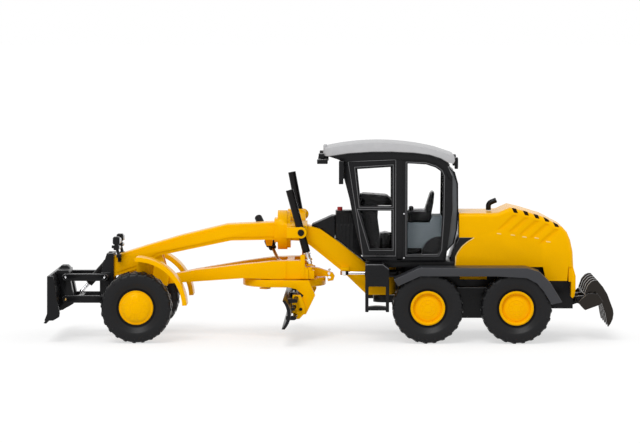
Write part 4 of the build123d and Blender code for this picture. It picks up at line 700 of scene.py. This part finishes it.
# Rear frame
# The black chassis and deck in one casting, with a yellow bar and apron across its tail and a
# yellow strip along its side. Cross-head screws hold the body from below.
TAIL_BAR_FRONT = 87.4
TAIL_BAR_BACK = 89.3
TAIL_BAR_FOOT = 14.6
APRON = ((86.5, 21.5), (88.2, 27.6))
APRON_HALF = 13.9
STRIP = ((47.3, 21.9), (57.2, 23.1))
STRIP_IN = 8.4
STRIP_OUT = 8.9
SCREW_PLACES = (30.0, 51.3, 78.0)
CHASSIS_BOTTOM = 13.0
SCREW_SUNK = 0.3
SCREW_PROUD = 0.35
SCREW_R = 1.35
COLLAR_R = 1.7
COLLAR_THICK = 0.2
COLLAR_SIDES = 32
CROSS_SUNK = 0.2
CROSS_PROUD = 0.42
CROSS_ARM = 0.8
CROSS_HALF = 0.14


def oblong(low, high):
    """The outline of a rectangle between two opposite corners, each as (x, z)."""
    return (low, (high[0], low[1]), high, (low[0], high[1]))


dressed("rear_frame", cast_black, edge=0.2, second=yellow_paint,
        chosen=lambda place, normal: TAIL_BAR_FRONT < place.x < TAIL_BAR_BACK and place.z > TAIL_BAR_FOOT)
apron = plate(oblong(*APRON), -APRON_HALF, APRON_HALF, edge=0.2)
fitted(apron, "tail_apron", yellow_paint, "rear_frame")
for side, hand in SIDES:
    strip = plate(oblong(*STRIP), *side_span(hand, STRIP_IN, STRIP_OUT), edge=0.1)
    fitted(strip, f"chassis_strip_{side}", yellow_paint, "rear_frame")
for number, screw_x in enumerate(SCREW_PLACES):
    collar = hoop((screw_x, 0, CHASSIS_BOTTOM), (0, 0, 1), COLLAR_R, COLLAR_THICK, COLLAR_SIDES)
    head = bar((screw_x, 0, CHASSIS_BOTTOM + SCREW_SUNK), (screw_x, 0, CHASSIS_BOTTOM - SCREW_PROUD), SCREW_R,
               edge=0.2)
    cross = [plate(oblong((screw_x - long, CHASSIS_BOTTOM - CROSS_PROUD),
                          (screw_x + long, CHASSIS_BOTTOM - CROSS_SUNK)), -wide, wide, edge=0)
             for long, wide in ((CROSS_ARM, CROSS_HALF), (CROSS_HALF, CROSS_ARM))]
    fitted(joined([collar] + cross), f"screw_cross_{number}", barrel_black, "rear_frame")
    fitted(head, f"screw_head_{number}", silver_paint, "rear_frame")

# Tandem cases
# One long black case a side carries the two rear wheels on its stub axles.
dressed("tandem_cases", cast_black, edge=0.35)

# Articulation cylinders
# A small black cylinder each side of the hitch, with a bright rod towards the front frame.
for side, hand in SIDES:
    dressed(f"artic_barrel_{side}", barrel_black, edge=0.12)
    dressed(f"artic_rod_{side}", chrome, edge=0)

# Rear fenders
# One dark grey arch a side over both rear wheels, moulded with a rounded top edge. Its rounded edges
# that face up are painted lighter as a highlight.
fender_grey = finish("fender_grey", (0.034, 0.035, 0.04), roughness=0.35, relief=0.004, grain=0.35,
                     shade=0.12, level=0.35)
# Painted highlight: a lighter grey skin for the fenders' rounded edges that face up
highlight_skins["fender_grey"] = finish("fender_painted_highlight", (0.12, 0.122, 0.13), roughness=0.25, relief=0.004,
                                  grain=0.35, shade=0.12, level=0.7)
dressed("rear_fenders", fender_grey, edge=FENDER_EDGE)

# Steps
# A closed box beside the cab with a ladder under it, moulded in black.
dressed("steps", cast_black, edge=0.2)

# Cab
# A black moulded frame, open at its windows. The windows of each side have raised rims, and pale
# lines are painted as highlights along their outer edges and round the door, which hangs on small
# bright hinge pins behind.
DOOR_FACE = 16.0
DOOR_SUNK = 0.1
DOOR_RAISE = 0.28
RIM_WIDE = 0.6
# Outlines of the rims, as (x, z): the door's two windows, the window behind it and the whole door
DOOR_RIMS = (
    ((8.9, 63.2), (23.1, 64.1), (23.1, 48.5), (10.6, 48.5)),
    ((9.8, 48.0), (23.1, 48.0), (23.1, 32.9), (14.3, 32.9)),
)
REAR_SIDE_RIM = ((27.5, 65.1), (34.9, 64.8), (38.6, 63.6), (40.7, 62.0), (41.6, 60.0), (41.4, 45.0),
                 (40.6, 33.0), (39.5, 30.9), (27.5, 30.9))
DOOR_OUTER = ((6.6, 65.2), (24.0, 65.9), (24.0, 30.9), (12.0, 30.9))
HIGHLIGHT_LINE_WIDE = 0.2
HIGHLIGHT_LINE_START = 0.1
HIGHLIGHT_LINE_RAISE = 0.03
DOOR_POST = ((24.2, 29.4), (26.4, 65.8))
DOOR_SILL = ((13.6, 29.2), (41.0, 29.2), (41.2, 30.2), (13.2, 30.2))
TRIM_EDGE = 0.14
HANDLE = ((16.8, 31.2), (20.4, 31.8))
HANDLE_RAISE = 0.6
HINGE_X = 26.9
HINGE_HEIGHTS = (46.3, 30.3)
HINGE_START = 0.1
HINGE_RAISE = 0.65
HINGE_R = 0.28


def border(outline, width, y_low, y_high, edge):
    """A rim of that width along the inside of an outline of (x, z) points."""
    bpy.ops.object.select_all(action="DESELECT")
    bpy.ops.mesh.primitive_circle_add(vertices=len(outline), radius=MM, fill_type="NGON")
    piece = bpy.context.active_object
    for vertex, (x, z) in zip(piece.data.vertices, outline):
        vertex.co = (x * MM, y_low * MM, z * MM)
    bpy.ops.object.mode_set(mode="EDIT")
    bpy.ops.mesh.select_mode(type="FACE")
    bpy.ops.mesh.select_all(action="SELECT")
    bpy.ops.mesh.inset(thickness=width * MM, depth=0)
    bpy.ops.mesh.delete(type="FACE")
    bpy.ops.mesh.select_all(action="SELECT")
    bpy.ops.mesh.extrude_region_move(TRANSFORM_OT_translate={"value": (0, (y_high - y_low) * MM, 0)})
    bpy.ops.mesh.select_all(action="SELECT")
    bpy.ops.mesh.normals_make_consistent(inside=False)
    bpy.ops.mesh.select_mode(type="VERT")
    bpy.ops.object.mode_set(mode="OBJECT")
    rounded(piece, edge)
    smoothed(piece)
    return piece


dressed("cab_shell", cast_black, edge=0.25)
for side, hand in SIDES:
    trim_span = side_span(hand, DOOR_FACE - DOOR_SUNK, DOOR_FACE + DOOR_RAISE)
    rims = [border(outline, RIM_WIDE, *trim_span, edge=0.12) for outline in DOOR_RIMS + (REAR_SIDE_RIM,)]
    post = plate(oblong(*DOOR_POST), *trim_span, TRIM_EDGE)
    sill = plate(DOOR_SILL, *trim_span, TRIM_EDGE)
    handle = plate(oblong(*HANDLE), *side_span(hand, DOOR_FACE, DOOR_FACE + HANDLE_RAISE), edge=0.12)
    fitted(joined(rims + [post, sill, handle]), f"cab_rims_{side}", cast_black, "cab_shell")
    # Painted highlights: pale lines on the rims and round the door, in the lighter edge skin
    highlight_span = side_span(hand, DOOR_FACE + HIGHLIGHT_LINE_START, DOOR_FACE + DOOR_RAISE + HIGHLIGHT_LINE_RAISE)
    highlight_lines = [border(outline, HIGHLIGHT_LINE_WIDE, *highlight_span, edge=0.04)
             for outline in DOOR_RIMS + (REAR_SIDE_RIM, DOOR_OUTER)]
    fitted(joined(highlight_lines), f"cab_rim_painted_highlights_{side}", highlight_skins["cast_black"], "cab_shell")
    hinges = joined([bar((HINGE_X, hand * (DOOR_FACE + HINGE_START), hinge_z),
                         (HINGE_X, hand * (DOOR_FACE + HINGE_RAISE), hinge_z), HINGE_R, edge=0.1, sides=14)
                     for hinge_z in HINGE_HEIGHTS])
    fitted(hinges, f"cab_hinges_{side}", chrome, "cab_shell")

# Windows
# Clear moulded panes just inside the cab frame, and a bulged smoked one behind, in a black rim with
# a bar across.
REAR_PANE_START = 42.5
PANE_HALF = 11.4
PANE_RIM_WIDE = 0.55
PANE_RIM_THICK = 0.5
PANE_EDGE = 0.1
PANE_BAR = ((46.3, 43.6), (46.95, 44.3))
REAR_PANE_LINE = ((43.0, 63.3), (45.4, 61.1), (46.55, 57.0), (46.65, 47.0), (46.2, 40.0), (45.1, 35.3),
                  (42.6, 32.5))
WAVE_SCALE = 120
WAVE_RELIEF = 0.004


def glazing(name, colour, through, roughness, ior):
    """A moulded clear or smoked pane, with a slight wave in its surface."""
    material, nodes, links = new_material(name)
    out = nodes.new("ShaderNodeOutputMaterial")
    pane = nodes.new("ShaderNodeBsdfPrincipled")
    pane.inputs["Base Color"].default_value = colour + (1,)
    pane.inputs["Transmission Weight"].default_value = through
    pane.inputs["Roughness"].default_value = roughness
    pane.inputs["IOR"].default_value = ior
    place = nodes.new("ShaderNodeTexCoord")
    wave = nodes.new("ShaderNodeTexNoise")
    wave.inputs["Scale"].default_value = WAVE_SCALE
    bump = nodes.new("ShaderNodeBump")
    bump.inputs["Distance"].default_value = WAVE_RELIEF * MM
    links.new(place.outputs["Object"], wave.inputs["Vector"])
    links.new(wave.outputs["Fac"], bump.inputs["Height"])
    links.new(bump.outputs["Normal"], pane.inputs["Normal"])
    links.new(pane.outputs[0], out.inputs["Surface"])
    return material


clear_glass = glazing("clear_glazing", (1.0, 1.0, 1.0), through=1.0, roughness=0.02, ior=1.08)
smoked_glass = glazing("smoked_glazing", (0.27, 0.285, 0.3), through=0.25, roughness=0.12, ior=1.15)
dressed("cab_glass", clear_glass, edge=0, second=smoked_glass,
        chosen=lambda place, normal: place.x > REAR_PANE_START)
pane_rims = []
for side, hand in SIDES:
    inner_line = tuple((x - PANE_RIM_WIDE, z) for x, z in reversed(REAR_PANE_LINE))
    pane_rims.append(plate(REAR_PANE_LINE + inner_line,
                           *side_span(hand, PANE_HALF, PANE_HALF + PANE_RIM_THICK), PANE_EDGE))
pane_rims.append(plate(oblong(*PANE_BAR), -PANE_HALF, PANE_HALF, PANE_EDGE))
fitted(joined(pane_rims), "rear_pane_rim", cast_black, "cab_shell")

# Cab inside
# The seat stand is moulded in blue-grey, and the console, dash and wheel boxes in black. A lever
# with a ball stands beside the seat, whose back is ribbed.
STAND_FRONT = 27.9
STAND_FOOT = 32.6
STAND_HALF = 9.3
LEVER_PLACE = (29.6, -7.4)
LEVER_FOOT = 42.6
LEVER_TOP = 46.9
LEVER_R = 0.35
KNOB_LOW = 46.7
KNOB_HIGH = 48.6
KNOB_R = 0.85
# Dark trim in the cab: outline as (x, z), low y, high y, edge
DASH_TRIM = (
    (((10.4, 48.7), (22.7, 48.7), (22.7, 50.6), (20.6, 52.3), (12.2, 52.9), (10.0, 52.0)), -7, 7, 0.4),
    (((18.3, 33.0), (22.6, 33.0), (22.6, 38.0), (20.2, 38.6), (18.3, 38.2)), -6, 6, 0.3),
    (oblong((28.3, 31.5), (33.4, 33.4)), -9.6, -9.1, 0.1),
)
SEAT_RIBS = 5
FIRST_RIB = 0.7
BACK_FOOT = (35.0, 46.6)
BACK_LEAN = (2.0, 6.6)
RIB_HALF = 5.4
RIB_R = 0.3
interior_grey = finish("interior_grey", (0.13, 0.16, 0.18), roughness=0.5, relief=0.004, grain=0.3)
dressed("cab_interior", cast_black, edge=0.2, second=interior_grey,
        chosen=lambda place, normal: place.x > STAND_FRONT and place.z > STAND_FOOT
        and abs(place.y) < STAND_HALF)
lever = joined([bar((*LEVER_PLACE, LEVER_FOOT), (*LEVER_PLACE, LEVER_TOP), LEVER_R, edge=0.05, sides=14),
                bar((*LEVER_PLACE, KNOB_LOW), (*LEVER_PLACE, KNOB_HIGH), KNOB_R, edge=0.5, sides=20)])
fitted(lever, "seat_lever", cast_black, "cab_interior")
dash = joined([plate(*trim) for trim in DASH_TRIM])
fitted(dash, "dash_hood", cast_black, "cab_interior")
dressed("seat", cast_black, edge=0.6)
ribs = []
for rib in range(SEAT_RIBS):
    share = (rib + FIRST_RIB) / SEAT_RIBS
    rib_x, rib_z = (foot + lean * share for foot, lean in zip(BACK_FOOT, BACK_LEAN))
    ribs.append(bar((rib_x, -RIB_HALF, rib_z), (rib_x, RIB_HALF, rib_z), RIB_R, edge=0.1, sides=12))
fitted(joined(ribs), "seat_back_ribs", cast_black, "seat")

# Front housing
# A ribbed black housing on the cab front over the gooseneck, with a red filler cap. A thin skirt
# closes the gap under it, and a stem stands in front of it.
CAP_FOOT = 46.65
CAP_BACK = 4.8
CAP_Y = -1.4
CAP_HALF = 1.1
SKIRT_END = 26.35
SKIRT_LINE = ((1.9, 36.2), (3.4, 35.15), (14.5, SKIRT_END), (14.5, SKIRT_END + 1.0), (3.4, 36.2),
              (1.9, 37.5))
SKIRT_HALF = 1
STEM_X = 1.84
STEM_LOW = 37.3
STEM_HIGH = 45.0
STEM_R = 0.18
cap_red = finish("cap_red", (0.42, 0.012, 0.01), roughness=0.35, relief=0.003, grain=0.2, level=0.3)
dressed("front_box", cast_black, edge=0.12, second=cap_red,
        chosen=lambda place, normal: place.z > CAP_FOOT and place.x < CAP_BACK
        and abs(place.y - CAP_Y) < CAP_HALF)
skirt = plate(SKIRT_LINE, -SKIRT_HALF, SKIRT_HALF, edge=0)
stem = bar((STEM_X, 0, STEM_LOW), (STEM_X, 0, STEM_HIGH), STEM_R, sides=12)
fitted(joined([skirt, stem]), "housing_skirt", cast_black, "front_box")

# Roof
# A grey moulded cap that overhangs the cab, on a dark rim.
roof_grey = finish("roof_grey", (0.5, 0.5, 0.51), roughness=0.42, relief=0.004, grain=0.3, level=0.3)
dressed("roof", roof_grey, edge=0.45)
dressed("roof_rim", cast_black, edge=0.3)

# Work lights and mirrors
# Small black lamps with silvered fronts under the roof's four corners, and a mirror on each side of
# the windshield.
dressed("work_lights", cast_black, edge=0.2)
dressed("mirrors", cast_black, edge=0.3)
# Lamp fronts: corners as (x, z), inner and outer distance from the middle
WORK_LENSES = (
    (((-4.6, 64.5), (-4.42, 65.6)), (11.4, 14.6)),
    (((46.3, 63.0), (46.5, 66.0)), (11.8, 14.0)),
)
for side, hand in SIDES:
    glasses = [plate(oblong(*corners), *side_span(hand, *span), edge=0) for corners, span in WORK_LENSES]
    fitted(joined(glasses), f"work_lenses_{side}", silver_paint, "work_lights")

# Hood
# A sprayed zinc hood with five louvres in each shoulder and a black panel behind the cab. Its front
# edge is a lipped curve with a cream line painted along it as a highlight, and the flutes of its flanks
# end on small ledges painted cream as highlights. The louvre slots are painted dark as the shade in them.
LOUVRES_FRONT = 65
LOUVRES_BACK = 84
LOUVRES_FOOT = 40
LOUVRE_IN = 12.5
LOUVRE_OUT = 12.75
FACES_SIDE = 0.9
LIP_LINE = ((48.2, 34.6), (47.2, 33.6), (46.4, 32.4), (45.7, 30.8), (45.5, 27.2), (48.2, 27.2))
LIP_IN = 11.8
LIP_OUT = 14.38
# Ends of the flutes: distance along the machine, height
FLUTE_ENDS = ((61.3, 39.1), (66.3, 38.6), (70.5, 37.9), (74.9, 37.5), (79.1, 36.2))
LEDGE_HALF = 0.8
LEDGE_DROP = 0.25
LEDGE_Y = 14.3
LEDGE_R = 0.22
# Painted highlight line along the hood's front curve, as (x, z) points
FRONT_HIGHLIGHT_CURVE = ((45.5, 27.4), (45.7, 30.8), (46.6, 32.5), (48.0, 34.4), (49.9, 36.0), (52.3, 37.5))
CURVE_Y = 14.35
CURVE_R = 0.2
# Painted shade: the faces inside the louvre slots are painted dark for the shade in them
slot_painted_shade = finish("slot_painted_shade", (0.02, 0.012, 0.006), roughness=0.7, relief=0.002, grain=0.2, level=0.1)
dressed("hood", yellow_paint, edge=0.3, second=slot_painted_shade,
        chosen=lambda place, normal: LOUVRES_FRONT < place.x < LOUVRES_BACK and place.z > LOUVRES_FOOT
        and LOUVRE_IN < abs(place.y) < LOUVRE_OUT and abs(normal.y) > FACES_SIDE)
dressed("hood_panel", cast_black, edge=0.12)
lips = [plate(LIP_LINE, *side_span(hand, LIP_IN, LIP_OUT), edge=0.05) for side, hand in SIDES]
fitted(joined(lips), "hood_lips", yellow_paint, "hood")
# Painted highlights: cream bars at the flute ends and along the front curve
highlight_bars = []
for ledge_x, ledge_z in FLUTE_ENDS:
    highlight_bars += [bar((ledge_x - LEDGE_HALF, hand * LEDGE_Y, ledge_z),
                   (ledge_x + LEDGE_HALF, hand * LEDGE_Y, ledge_z - LEDGE_DROP), LEDGE_R, edge=0.1, sides=14)
               for side, hand in SIDES]
for (low_x, low_z), (high_x, high_z) in zip(FRONT_HIGHLIGHT_CURVE, FRONT_HIGHLIGHT_CURVE[1:]):
    highlight_bars += [bar((low_x, hand * CURVE_Y, low_z), (high_x, hand * CURVE_Y, high_z), CURVE_R, edge=0.05,
                   sides=12) for side, hand in SIDES]
fitted(joined(highlight_bars), "hood_painted_highlights", highlight_skins["yellow_paint"], "hood")

# Exhaust
# A curved black stack, moulded and pressed into the hood.
dressed("exhaust", cast_black, edge=0.15)

# Ripper
# Five arched shanks on a cross beam, in dark polished metal.
dark_metal = finish("dark_metal", (0.006, 0.005, 0.0045), roughness=0.2, relief=0.006, grain=0.3,
                    coat=0.08, shade=0.3, level=0.28, tint=(1.0, 0.88, 0.76))
# The ripper takes the same painted highlight on its edges that face up
highlight_skins["dark_metal"] = highlight_skins["cast_black"]
dressed("ripper", dark_metal, edge=0.18)
